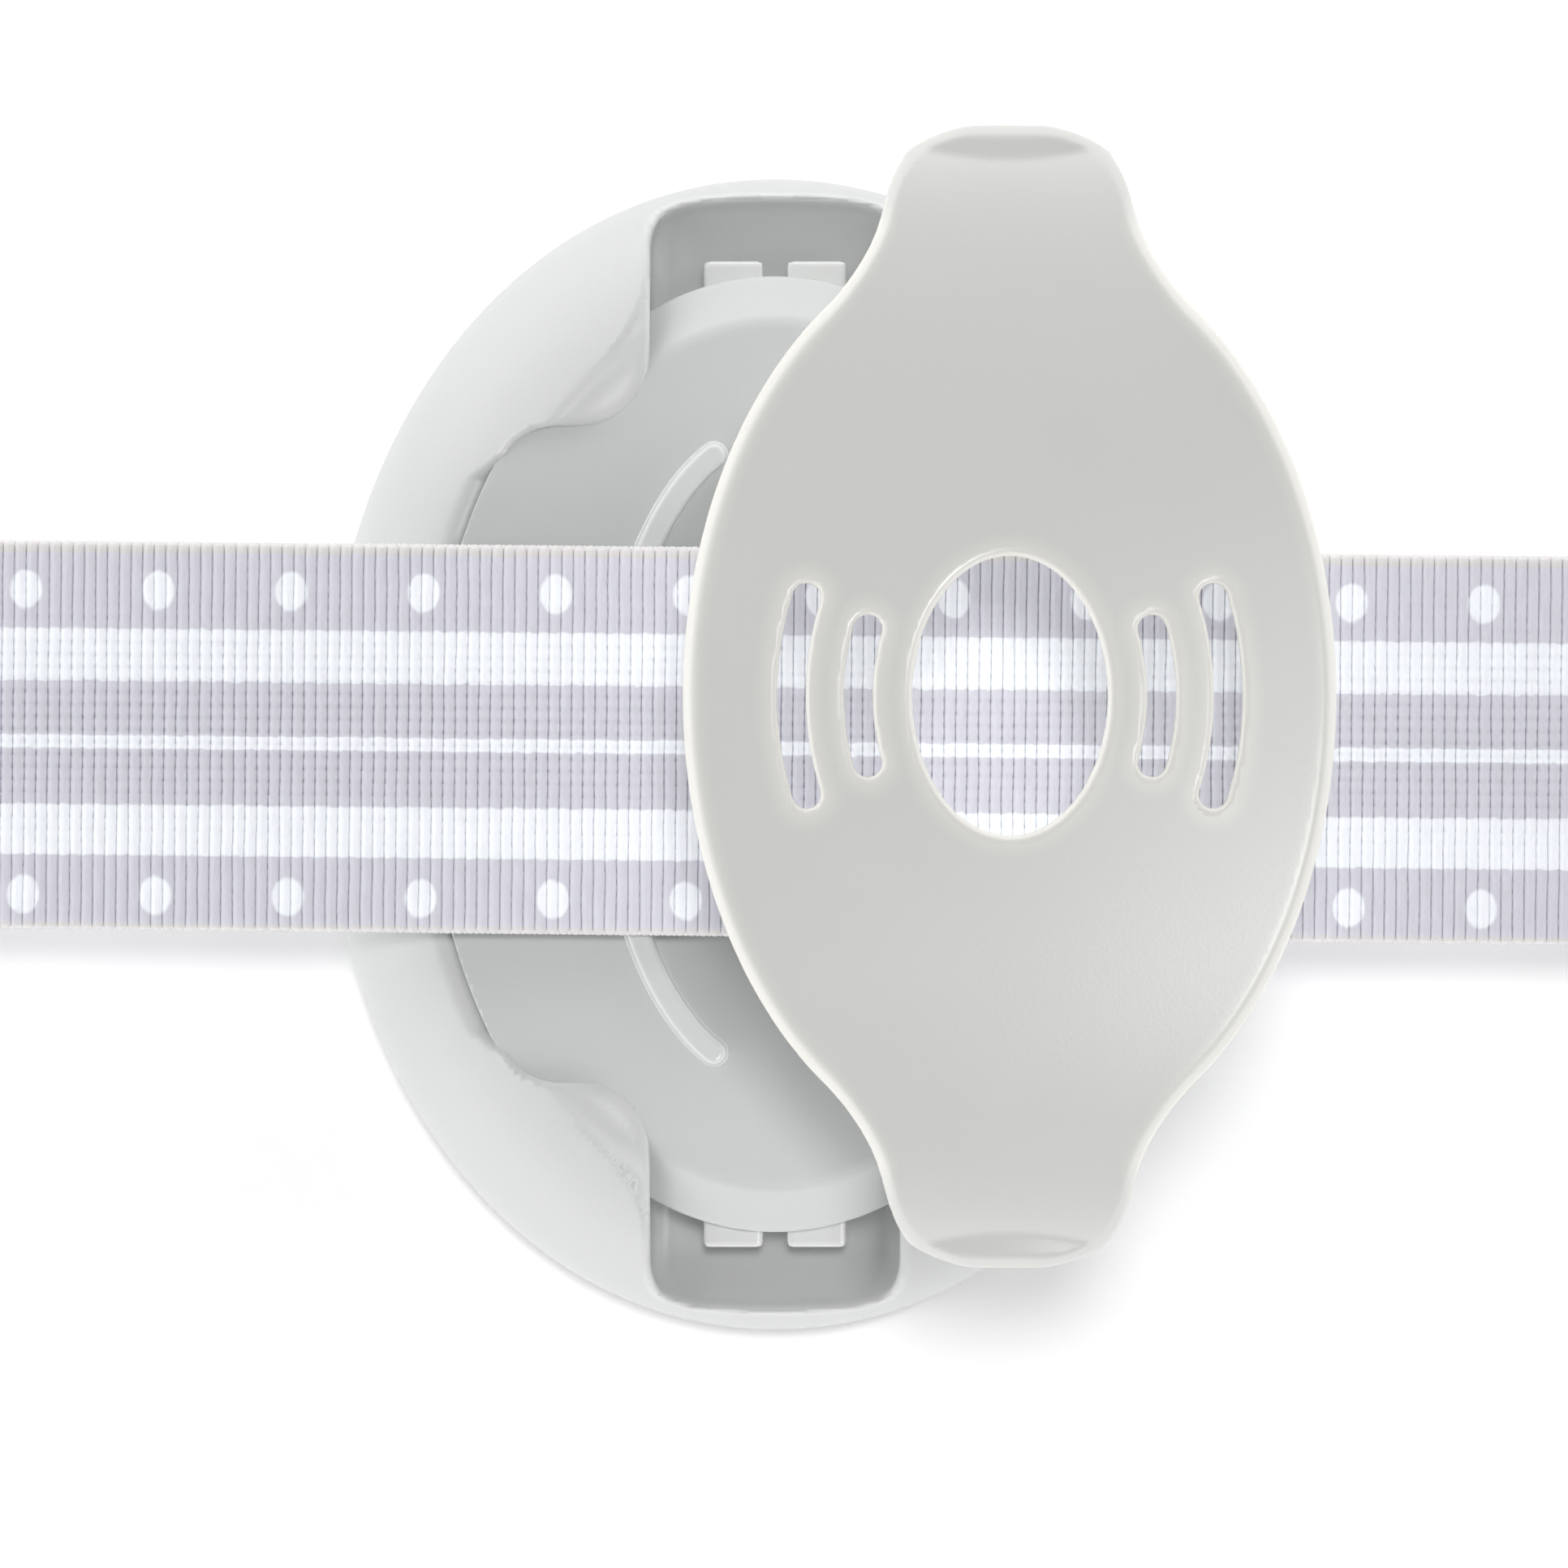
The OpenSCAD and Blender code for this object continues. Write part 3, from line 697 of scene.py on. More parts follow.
class Tree:
    """A node tree being built: adds nodes, sets their inputs and joins their sockets."""

    def __init__(self, tree):
        self.tree = tree

    def add(self, kind, inputs=(), **settings):
        node = self.tree.nodes.new(kind)
        for key, value in settings.items():
            setattr(node, key, value)
        for key, value in dict(inputs).items():
            self.put(node.inputs[key], value)
        return node

    def put(self, socket, value):
        if isinstance(value, bpy.types.NodeSocket):
            self.tree.links.new(value, socket)
        else:
            socket.default_value = value

    def math(self, operation, *values):
        node = self.add("ShaderNodeMath", operation=operation)
        for socket, value in zip(node.inputs, values):
            self.put(socket, value)
        return node.outputs[0]

    def mix(self, factor, a, b):
        node = self.add("ShaderNodeMix", data_type="RGBA")
        self.put(node.inputs[0], factor)
        self.put(node.inputs[6], a)
        self.put(node.inputs[7], b)
        return node.outputs[2]

    def ramp(self, value, low, high, to_low=0.0, to_high=1.0):
        node = self.add("ShaderNodeMapRange", interpolation_type="SMOOTHSTEP")
        for key, number in (
            ("Value", value), ("From Min", low), ("From Max", high), ("To Min", to_low), ("To Max", to_high)
        ):
            self.put(node.inputs[key], number)
        return node.outputs["Result"]


def new_group(name, inputs, outputs):
    """A shader node group with named sockets. Returns its Tree, input node and output node."""
    group = bpy.data.node_groups.new(name, "ShaderNodeTree")
    for label, kind, default in inputs:
        socket = group.interface.new_socket(label, in_out="INPUT", socket_type=kind)
        if default is not None:
            socket.default_value = default
    for label, kind in outputs:
        group.interface.new_socket(label, in_out="OUTPUT", socket_type=kind)
    tree = Tree(group)
    return tree, tree.add("NodeGroupInput"), tree.add("NodeGroupOutput")


FLOAT, COLOUR, VECTOR = "NodeSocketFloat", "NodeSocketColor", "NodeSocketVector"


EDGE_FADE = 1.6                # how fast the painted highlight along an edge dies away
SPECK = 0.03                   # how much the grain changes the colour
ROUGH_SPREAD = 0.12            # how much the roughness varies from place to place
EDGE_POLISH = -0.06            # change of roughness on an edge
PIT_SHARE = 0.4                # share of the pits in the grain's height


def moulded_skin_group():
    """Moulded plastic: faint mottling, a fine spark-eroded grain, a painted highlight that makes the edges
    paler and painted shade in the creases.
    """
    tree, given, out = new_group(
        "Moulded skin",
        [("Color", COLOUR, (0.6, 0.6, 0.6, 1)), ("Mottle", FLOAT, 0.03), ("Roughness", FLOAT, 0.45),
         ("Grain scale", FLOAT, 5200.0), ("Edge color", COLOUR, (0.7, 0.7, 0.7, 1)),
         ("Edge glow", FLOAT, 0.12), ("Crease shade", FLOAT, 0.1)],
        [("Color", COLOUR), ("Roughness", FLOAT), ("Height", FLOAT)],
    )
    place = tree.add("ShaderNodeTexCoord").outputs["Object"]
    cloud = tree.add("ShaderNodeTexNoise", {"Vector": place, "Scale": 95.0, "Detail": 3.0})
    fine = given.outputs["Grain scale"]
    grain = tree.add("ShaderNodeTexNoise", {"Vector": place, "Scale": fine, "Detail": 2.0})
    pits = tree.add("ShaderNodeTexVoronoi", {"Vector": place, "Scale": fine})
    clouded = tree.math("SUBTRACT", cloud.outputs["Fac"], 0.5)
    spread = tree.math("MULTIPLY", clouded, given.outputs["Mottle"])
    speck = tree.math("MULTIPLY", tree.math("SUBTRACT", grain.outputs["Fac"], 0.5), SPECK)
    shade = tree.math("ADD", tree.math("ADD", 1.0, spread), speck)
    edge = tree.add("ShaderNodeAttribute", attribute_name="edge").outputs["Fac"]
    crease = tree.add("ShaderNodeAttribute", attribute_name="crease").outputs["Fac"]
    # Painted highlight: the edge attribute mixes the colour towards the paler edge colour, standing in for
    # the light that rounded edges catch.
    glow = tree.math("MULTIPLY", tree.math("POWER", edge, EDGE_FADE), given.outputs["Edge glow"])
    # Painted shade: the colour darkens where the crease attribute says little is open in front of the
    # surface, in corners and next to the piece beside it.
    painted_crease_shade = tree.math("MULTIPLY", tree.ramp(crease, 0.1, 1.0), given.outputs["Crease shade"])
    level = tree.math("SUBTRACT", shade, painted_crease_shade)
    tinted = tree.add("ShaderNodeVectorMath", operation="SCALE")
    tree.put(tinted.inputs[0], tree.mix(glow, given.outputs["Color"], given.outputs["Edge color"]))
    tree.put(tinted.inputs["Scale"], level)
    tree.put(out.inputs["Color"], tinted.outputs[0])
    rough = tree.math("MULTIPLY_ADD", clouded, ROUGH_SPREAD, given.outputs["Roughness"])
    polished = tree.math("MULTIPLY_ADD", edge, EDGE_POLISH, rough)
    tree.put(out.inputs["Roughness"], polished)
    height = tree.math("ADD", tree.math("MULTIPLY", grain.outputs["Fac"], 1 - PIT_SHARE),
                       tree.math("MULTIPLY", pits.outputs["Distance"], PIT_SHARE))
    tree.put(out.inputs["Height"], height)
    return tree.tree


# Places and sizes of the print, in millimetres from the strap's middle.
DOT_PITCH = 8.6                # spacing of the printed dots along the strap
DOT_START = 2.9                # where a dot lies along the strap
BANDS = ((5.4, 3.4), (-5.95, 3.3), (-0.25, 0.85))    # middle and width of each printed band
DOT_ROW = 9.9                  # dots' distance from the line midway between the rows
DOT_MIDDLE = -0.3              # where that line lies
DOT_SIZE = 1.03, 1.26          # half size of a dot along the strap and across it
EDGE_START = 12.0              # where the unprinted selvedge starts
BAND_SOFT = 0.09               # half width of a band's soft edge
DOT_SOFT = 0.12                # the same for a dot, as a share of its size
EDGE_SOFT = 0.12               # the same for the selvedge
BLEED = 0.3                    # how far the print's edges run


def strap_print_group():
    """The printed face of the strap: bands, dots and plain selvedges, by place on the strap."""
    tree, given, out = new_group(
        "Strap print",
        [("Ground", COLOUR, (0.5, 0.5, 0.6, 1)), ("Print", COLOUR, (0.9, 0.9, 0.9, 1)),
         ("Selvedge", COLOUR, (0.6, 0.6, 0.6, 1)), ("Along", FLOAT, 0.0), ("Across", FLOAT, 0.0),
         ("Up", FLOAT, 1.0)],
        [("Color", COLOUR)],
    )
    along, across = given.outputs["Along"], given.outputs["Across"]
    place = tree.add("ShaderNodeCombineXYZ", {"X": along, "Y": across}).outputs[0]
    bleed = tree.add("ShaderNodeTexNoise", {"Vector": place, "Scale": 1.7, "Detail": 1.0}).outputs["Fac"]
    across = tree.math("MULTIPLY_ADD", tree.math("SUBTRACT", bleed, 0.5), BLEED, across)
    printed = None
    for middle, width in BANDS:
        away = tree.math("ABSOLUTE", tree.math("SUBTRACT", across, middle))
        band = tree.ramp(away, width / 2 - BAND_SOFT, width / 2 + BAND_SOFT, 1.0, 0.0)
        printed = band if printed is None else tree.math("MAXIMUM", printed, band)
    cell = tree.math("WRAP", tree.math("SUBTRACT", along, DOT_START), -DOT_PITCH / 2, DOT_PITCH / 2)
    row = tree.math("SUBTRACT", tree.math("ABSOLUTE", tree.math("SUBTRACT", across, DOT_MIDDLE)), DOT_ROW)
    squares = [tree.math("POWER", tree.math("DIVIDE", away, size), 2.0)
               for away, size in zip((cell, row), DOT_SIZE)]
    reach = tree.math("SQRT", tree.math("ADD", *squares))
    printed = tree.math("MAXIMUM", printed, tree.ramp(reach, 1 - DOT_SOFT, 1 + DOT_SOFT, 1.0, 0.0))
    printed = tree.math("MULTIPLY", printed, tree.ramp(given.outputs["Up"], -0.1, 0.1))
    worn = tree.add("ShaderNodeTexNoise", {"Vector": place, "Scale": 0.9, "Detail": 3.0}).outputs["Fac"]
    printed = tree.math("MULTIPLY", printed, tree.ramp(worn, 0.15, 0.45, 0.9, 1.0))
    cloth = tree.mix(printed, given.outputs["Ground"], given.outputs["Print"])
    edge = tree.ramp(tree.math("ABSOLUTE", across), EDGE_START - EDGE_SOFT, EDGE_START + EDGE_SOFT)
    tree.put(out.inputs["Color"], tree.mix(edge, cloth, given.outputs["Selvedge"]))
    return tree.tree


def thread_group():
    """Spun thread: fibres that run along it, with slubs and colour that vary from place to place."""
    tree, given, out = new_group(
        "Spun thread",
        [("Color", COLOUR, (0.5, 0.5, 0.5, 1)), ("Stretch", VECTOR, (6000, 700, 6000)),
         ("Depth", FLOAT, 0.12), ("Slubs", FLOAT, 0.1)],
        [("Color", COLOUR), ("Height", FLOAT)],
    )
    place = tree.add("ShaderNodeTexCoord").outputs["Object"]
    fine = tree.add("ShaderNodeVectorMath", operation="MULTIPLY")
    tree.put(fine.inputs[0], place)
    tree.put(fine.inputs[1], given.outputs["Stretch"])
    fibre = tree.add("ShaderNodeTexNoise", {"Vector": fine.outputs[0], "Scale": 1.0, "Detail": 2.0})
    slub = tree.add("ShaderNodeTexNoise", {"Vector": place, "Scale": 520.0, "Detail": 2.0})
    shade = 1.0
    for noise, depth in ((fibre, "Depth"), (slub, "Slubs")):
        centred = tree.math("SUBTRACT", noise.outputs["Fac"], 0.5)
        shade = tree.math("MULTIPLY_ADD", centred, given.outputs[depth], shade)
    tinted = tree.add("ShaderNodeVectorMath", operation="SCALE")
    tree.put(tinted.inputs[0], given.outputs["Color"])
    tree.put(tinted.inputs["Scale"], shade)
    tree.put(out.inputs["Color"], tinted.outputs[0])
    tree.put(out.inputs["Height"], fibre.outputs["Fac"])
    return tree.tree


def group_of(maker, name):
    """A shared node group, built the first time that a material asks for it."""
    return bpy.data.node_groups.get(name) or maker()


# ---------------------------------------------------------------- materials

def new_material(name):
    """An empty material with a Principled BSDF. Returns the material, its Tree and the shader."""
    material = bpy.data.materials.new(name)
    material.use_nodes = True
    tree = Tree(material.node_tree)
    return material, tree, material.node_tree.nodes["Principled BSDF"]


BUMP_STEP = 0.1 * MM           # height that a bump of full strength gives


def plastic(name, tint, edge_tint, roughness=0.42, grain=5200.0, bump=0.05, glow=0.5, crease=0.1, coat=0.0):
    """Moulded plastic, its edges made paler by a painted highlight of strength glow and its creases
    darkened by painted shade of strength crease.
    """
    material, tree, shader = new_material(name)
    skin = tree.add("ShaderNodeGroup", node_tree=group_of(moulded_skin_group, "Moulded skin"))
    for key, value in (("Color", (*tint, 1)), ("Roughness", roughness), ("Grain scale", grain),
                       ("Edge color", (*edge_tint, 1)), ("Edge glow", glow), ("Crease shade", crease)):
        skin.inputs[key].default_value = value
    lift = tree.add("ShaderNodeBump",
                    {"Strength": bump, "Distance": BUMP_STEP, "Height": skin.outputs["Height"]})
    tree.put(shader.inputs["Base Color"], skin.outputs["Color"])
    tree.put(shader.inputs["Roughness"], skin.outputs["Roughness"])
    tree.put(shader.inputs["Normal"], lift.outputs["Normal"])
    shader.inputs["Coat Weight"].default_value = coat
    shader.inputs["Coat Roughness"].default_value = 0.25
    return material


def foam(name, tint):
    """Closed-cell foam, with open bubbles on its cut side."""
    material, tree, shader = new_material(name)
    place = tree.add("ShaderNodeTexCoord").outputs["Object"]
    bubbles = tree.add("ShaderNodeTexVoronoi", {"Vector": place, "Scale": 2600.0})
    # Painted shade: the colour darkens towards each bubble's middle, where the bump sinks into the open
    # bubble.
    shade = tree.ramp(bubbles.outputs["Distance"], 0.0, 0.6, 0.82, 1.04)
    tinted = tree.add("ShaderNodeVectorMath", operation="SCALE")
    tinted.inputs[0].default_value = tint
    tree.put(tinted.inputs["Scale"], shade)
    lift = tree.add("ShaderNodeBump",
                    {"Strength": 0.6, "Distance": 2 * BUMP_STEP, "Height": bubbles.outputs["Distance"]})
    tree.put(shader.inputs["Base Color"], tinted.outputs[0])
    tree.put(shader.inputs["Normal"], lift.outputs["Normal"])
    shader.inputs["Roughness"].default_value = 0.85
    return material


def webbing(name, colours, tilt, stretch, share=1.0):
    """Printed cloth thread. The pattern lies square on the strap, which is turned by tilt. Its
    colours are multiplied by share, which paints light onto threads that lie in the shade between
    the wefts, and its fibres follow stretch.
    """
    material, tree, shader = new_material(name)
    middle = (STRAP_LOW + STRAP_HIGH) / 2 * MM
    place = tree.add("ShaderNodeTexCoord").outputs["Object"]
    moved = tree.add("ShaderNodeMapping", {
        "Vector": place, "Location": tuple(middle), "Rotation": (0, 0, tilt)}, vector_type="TEXTURE")
    scaled = tree.add("ShaderNodeVectorMath", operation="SCALE")
    tree.put(scaled.inputs[0], moved.outputs[0])
    scaled.inputs["Scale"].default_value = 1 / MM
    parts = tree.add("ShaderNodeSeparateXYZ", {"Vector": scaled.outputs[0]})
    pattern = tree.add("ShaderNodeGroup", node_tree=group_of(strap_print_group, "Strap print"))
    for key, tint in (("Ground", colours.cloth), ("Print", colours.band), ("Selvedge", colours.selvedge)):
        pattern.inputs[key].default_value = (*[c * share for c in tint], 1)
    for key, axis in (("Along", "X"), ("Across", "Y"), ("Up", "Z")):
        tree.put(pattern.inputs[key], parts.outputs[axis])
    thread = tree.add("ShaderNodeGroup", node_tree=group_of(thread_group, "Spun thread"))
    thread.inputs["Stretch"].default_value = stretch
    tree.put(thread.inputs["Color"], pattern.outputs["Color"])
    lift = tree.add("ShaderNodeBump",
                    {"Strength": 0.25, "Distance": BUMP_STEP, "Height": thread.outputs["Height"]})
    tree.put(shader.inputs["Base Color"], thread.outputs["Color"])
    tree.put(shader.inputs["Normal"], lift.outputs["Normal"])
    shader.inputs["Roughness"].default_value = 0.8
    shader.inputs["Specular IOR Level"].default_value = 0.25
    shader.inputs["Sheen Weight"].default_value = 0.35
    shader.inputs["Sheen Roughness"].default_value = 0.4
    return material


# ---------------------------------------------------------------- woven strap

def new_geometry_tree(name, inputs):
    """A geometry node tree with a geometry output and named inputs. Returns its Tree and ends."""
    group = bpy.data.node_groups.new(name, "GeometryNodeTree")
    group.interface.new_socket("Geometry", in_out="INPUT", socket_type="NodeSocketGeometry")
    for label, kind, default in inputs:
        socket = group.interface.new_socket(label, in_out="INPUT", socket_type=kind)
        if default is not None:
            socket.default_value = default
    group.interface.new_socket("Geometry", in_out="OUTPUT", socket_type="NodeSocketGeometry")
    tree = Tree(group)
    return tree, tree.add("NodeGroupInput"), tree.add("NodeGroupOutput")


def thread_inputs():
    """The inputs that both thread trees share."""
    return [
        ("Run", FLOAT, 0.025), ("Thickness", FLOAT, 0.001), ("Half width", FLOAT, 0.0003),
        ("Half height", FLOAT, 0.0002), ("Pitch", FLOAT, 0.000755), ("Count", "NodeSocketInt", 10),
        ("First", FLOAT, 0.0), ("Cross pitch", FLOAT, 0.0008), ("Wave", FLOAT, 0.00005),
        ("Wander", FLOAT, 0.0001), ("Seed", FLOAT, 0.0), ("Middle", VECTOR, (0, 0, 0)),
        ("Tilt", FLOAT, 0.0), ("Material", "NodeSocketMaterial", None),
    ]


def thread_profile(tree, given, sides):
    """An oval thread section."""
    circle = tree.add("GeometryNodeCurvePrimitiveCircle", {"Resolution": sides, "Radius": 1.0})
    size = tree.add("ShaderNodeCombineXYZ",
                    {"X": given.outputs["Half width"], "Y": given.outputs["Half height"], "Z": 1.0})
    return tree.add("GeometryNodeTransform",
                    {"Geometry": circle.outputs["Curve"], "Scale": size.outputs[0]})


def lay_threads(tree, given, out, thread, along):
    """Repeats a thread, lets the copies stray a little, and lays them where the strap is."""
    offset = tree.add("ShaderNodeCombineXYZ", {along: given.outputs["Pitch"]})
    start = tree.add("ShaderNodeCombineXYZ", {along: given.outputs["First"]})
    line = tree.add("GeometryNodeMeshLine", {
        "Count": given.outputs["Count"], "Start Location": start.outputs[0], "Offset": offset.outputs[0]})
    copies = tree.add("GeometryNodeInstanceOnPoints", {"Points": line.outputs["Mesh"], "Instance": thread})
    real = tree.add("GeometryNodeRealizeInstances", {"Geometry": copies.outputs["Instances"]})
    place = tree.add("GeometryNodeInputPosition")
    noise = tree.add("ShaderNodeTexNoise", {
        "Vector": place.outputs[0], "W": given.outputs["Seed"], "Scale": 420.0, "Detail": 2.0},
        noise_dimensions="4D")
    centred = tree.add("ShaderNodeVectorMath", operation="SUBTRACT")
    tree.put(centred.inputs[0], noise.outputs["Color"])
    centred.inputs[1].default_value = (0.5, 0.5, 0.5)
    strayed = tree.add("ShaderNodeVectorMath", operation="SCALE")
    tree.put(strayed.inputs[0], centred.outputs[0])
    tree.put(strayed.inputs["Scale"], given.outputs["Wander"])
    flat = tree.add("ShaderNodeVectorMath", operation="MULTIPLY")
    tree.put(flat.inputs[0], strayed.outputs[0])
    flat.inputs[1].default_value = (1.0, 0.5, 0.3)
    moved = tree.add("GeometryNodeSetPosition", {"Geometry": real.outputs[0], "Offset": flat.outputs[0]})
    turn = tree.add("ShaderNodeCombineXYZ", {"Z": given.outputs["Tilt"]})
    laid = tree.add("GeometryNodeTransform", {
        "Geometry": moved.outputs[0], "Translation": given.outputs["Middle"], "Rotation": turn.outputs[0]})
    smooth = tree.add("GeometryNodeSetShadeSmooth", {"Geometry": laid.outputs[0]})
    again = tree.add("GeometryNodeRealizeInstances", {"Geometry": smooth.outputs[0]})
    painted = tree.add("GeometryNodeSetMaterial",
                       {"Geometry": again.outputs[0], "Material": given.outputs["Material"]})
    tree.put(out.inputs[0], painted.outputs[0])


def weft_tree():
    """Threads across the strap: each goes over its top, round the selvedge and back underneath."""
    tree, given, out = new_geometry_tree("Weft", thread_inputs())
    loop = tree.add("GeometryNodeCurvePrimitiveQuadrilateral",
                    {"Width": given.outputs["Run"], "Height": given.outputs["Thickness"]})
    corner = tree.math("MULTIPLY", given.outputs["Thickness"], 0.48)
    rounded = tree.add("GeometryNodeFilletCurve", {"Curve": loop.outputs[0], "Radius": corner, "Count": 4},
                       mode="POLY")
    around = tree.math("MULTIPLY", given.outputs["Run"], 2.0)
    samples = tree.math("MULTIPLY", tree.math("DIVIDE", around, given.outputs["Cross pitch"]), 2.0)
    fine = tree.add("GeometryNodeResampleCurve", {"Curve": rounded.outputs[0], "Count": samples})
    upright = tree.add("GeometryNodeTransform", {
        "Geometry": fine.outputs[0], "Rotation": (math.pi / 2, 0, math.pi / 2)})
    place = tree.add("ShaderNodeSeparateXYZ", {"Vector": tree.add("GeometryNodeInputPosition").outputs[0]})
    turns = tree.math("MULTIPLY", place.outputs["Y"], 2 * math.pi)
    turns = tree.math("DIVIDE", turns, given.outputs["Cross pitch"])
    side = tree.math("DIVIDE", place.outputs["Z"], tree.math("MULTIPLY", given.outputs["Thickness"], 0.5))
    rise = tree.math("MULTIPLY", tree.math("COSINE", turns), given.outputs["Wave"])
    rise = tree.math("MULTIPLY", rise, side)
    lift = tree.add("ShaderNodeCombineXYZ", {"Z": rise})
    wavy = tree.add("GeometryNodeSetPosition", {"Geometry": upright.outputs[0], "Offset": lift.outputs[0]})
    thread = tree.add("GeometryNodeCurveToMesh", {
        "Curve": wavy.outputs[0], "Profile Curve": thread_profile(tree, given, 8).outputs[0]})
    lay_threads(tree, given, out, thread.outputs[0], "X")
    return tree.tree


def warp_tree():
    """Threads along the strap: each swells where it shows between two weft threads."""
    tree, given, out = new_geometry_tree("Warp", thread_inputs())
    half = tree.math("MULTIPLY", given.outputs["Run"], 0.5)
    start = tree.add("ShaderNodeCombineXYZ", {"X": tree.math("MULTIPLY", half, -1.0)})
    end = tree.add("ShaderNodeCombineXYZ", {"X": half})
    line = tree.add("GeometryNodeCurvePrimitiveLine", {"Start": start.outputs[0], "End": end.outputs[0]})
    crossings = tree.math("DIVIDE", given.outputs["Run"], given.outputs["Cross pitch"])
    samples = tree.math("ADD", tree.math("MULTIPLY", crossings, 2.0), 1.0)
    fine = tree.add("GeometryNodeResampleCurve", {"Curve": line.outputs[0], "Count": samples})
    odd = tree.math("MODULO", tree.add("GeometryNodeInputIndex").outputs[0], 2.0)
    swell = tree.math("MULTIPLY_ADD", odd, -0.5, 1.0)
    thread = tree.add("GeometryNodeCurveToMesh", {
        "Curve": fine.outputs[0], "Profile Curve": thread_profile(tree, given, 6).outputs[0],
        "Scale": swell, "Fill Caps": True})
    lay_threads(tree, given, out, thread.outputs[0], "Y")
    return tree.tree


def from_tree(name, group, values):
    """A plain mesh object made by a geometry node tree with the given inputs."""
    carrier = bpy.data.objects.new(name + "_tree", bpy.data.meshes.new(name + "_tree"))
    bpy.context.scene.collection.objects.link(carrier)
    modifier = carrier.modifiers.new("Build", "NODES")
    modifier.node_group = group
    for socket in group.interface.items_tree:
        if socket.in_out == "INPUT" and socket.name in values:
            modifier[socket.identifier] = values[socket.name]
    carrier.update_tag()
    bpy.context.view_layer.update()
    mesh = bpy.data.meshes.new_from_object(carrier.evaluated_get(bpy.context.evaluated_depsgraph_get()))
    bpy.data.objects.remove(carrier)
    mesh.name = name
    piece = bpy.data.objects.new(name, mesh)
    bpy.context.scene.collection.objects.link(piece)
    return piece


# ---------------------------------------------------------------- operators

class LatchPiece:
    """What every operator of the latch shares."""

    bl_options = {"REGISTER", "UNDO"}

    def done(self, *pieces):
        for piece in pieces:
            if piece is None or not piece.data.polygons:
                raise RuntimeError(f"{self.bl_label} made no mesh")
        return {"FINISHED"}


class LATCH_OT_case(LatchPiece, bpy.types.Operator):
    """Mould the domed oval case with its tub, pockets and flanks"""

    bl_idname = "latch.case"
    bl_label = "Case"

    def execute(self, context):
        scene = context.scene
        sizes = in_mm(scene.latch_case)
        deck = platform_field(sizes, in_mm(scene.latch_deck))
        # Painted shade darkens the case where less than 2.6 mm is open in front of it, to itself or to the
        # platform; its edges get a painted highlight.
        case = mould("case", case_field(sizes, in_mm(scene.latch_cover)), CASE_LOW, CASE_HIGH, cell=0.39,
                     crease_reach=2.6, near=deck)
        tints = scene.latch_colours
        skin = plastic("Case plastic", tints.case, tints.edge, roughness=0.45, crease=0.16)
        return self.done(finish_piece(case, skin, "pod", "case_plastic", "case_shell"))


class LATCH_OT_mount(LatchPiece, bpy.types.Operator):
    """Make the base plate and the foam pad under the case"""

    bl_idname = "latch.mount"
    bl_label = "Sticky mount"

    def execute(self, context):
        tints = context.scene.latch_colours
        base = mould("base", slab_field(BASE_LOW, BASE_HIGH, 0.25), BASE_LOW, BASE_HIGH, cell=0.62)
        # The base plate's edges get a faint painted highlight.
        skin = plastic("Base plastic", tints.base, tints.edge, roughness=0.55, glow=0.2)
        finish_piece(base, skin, "pod", "base_plastic", "base_plate")
        pad = mould("pad", slab_field(PAD_LOW, PAD_HIGH, 0.2), PAD_LOW, PAD_HIGH, cell=0.6)
        finish_piece(pad, foam("Pad foam", tints.foam), "pod", "foam", "adhesive_pad")
        return self.done(base, pad)


class LATCH_OT_platform(LatchPiece, bpy.types.Operator):
    """Mould the platform that the strap lies on and its two grip ribs"""

    bl_idname = "latch.platform"
    bl_label = "Platform and grip ribs"

    def execute(self, context):
        scene = context.scene
        deck = in_mm(scene.latch_deck)
        sizes = in_mm(scene.latch_case)
        case = case_field(sizes, in_mm(scene.latch_cover))
        # Painted shade darkens the platform close to the case's walls; the platform and the grip ribs get a
        # painted highlight along their edges.
        platform = mould("platform_top", platform_field(sizes, deck), DECK_LOW, DECK_HIGH, cell=0.32,
                         crease_reach=1.6, near=case)
        tints = scene.latch_colours
        skin = plastic("Platform plastic", tints.platform, tints.edge, roughness=0.5, bump=0.06, glow=0.1)
        finish_piece(platform, skin, "pod", "platform_plastic", "platform")
        rubber = plastic("Grip rib plastic", tints.rib, tints.edge, roughness=0.3, bump=0.02, coat=0.3)
        ribs = []
        for label, side in (("left", -1), ("right", 1)):
            node = "grip_rib_" + label
            low, high = box_mm(node)
            rib = mould("rib_" + label, rib_field(deck, side), low - FOOT_ROOM, high + FOOT_ROOM, cell=0.17,
                        edge_reach=0.35)
            ribs.append(finish_piece(rib, rubber, "pod", "grip_rib", node))
        return self.done(platform, *ribs)


class LATCH_OT_catch(LatchPiece, bpy.types.Operator):
    """Mould the catch frame with its four lugs"""

    bl_idname = "latch.catch"
    bl_label = "Catch frame"

    def execute(self, context):
        scene = context.scene
        field = catch_field(in_mm(scene.latch_case), in_mm(scene.latch_deck))
        catch = mould("catches", field, CATCH_LOW, CATCH_HIGH, cell=0.3, edge_reach=0.4)
        tints = scene.latch_colours
        # The catch frame's edges get a painted highlight.
        skin = plastic("Catch plastic", tints.catch, tints.edge, roughness=0.33, bump=0.02, coat=0.15)
        return self.done(finish_piece(catch, skin, "pod", "catch_plastic", "catch_frame"))


# Sizes of the weave, in metres.
WARP_COUNT = 29                # threads along the strap
WARP_HALF = 0.00043, 0.00046   # half width and half height of such a thread
SELVEDGE_HALF = 0.00042, 0.0003    # the same for the thread along each selvedge
STRAP_END = 0.0004             # how much shorter the weave is than the strap
CORE_IN = 0.0006, 0.0007       # how far the core stops inside the strap's ends and its sides
CORE_HALF = 0.00017            # half thickness of the core
CORE_RIB = 0.00006             # height of the ribs on it
CORE_STEPS = 29, 97            # points along the core and across it


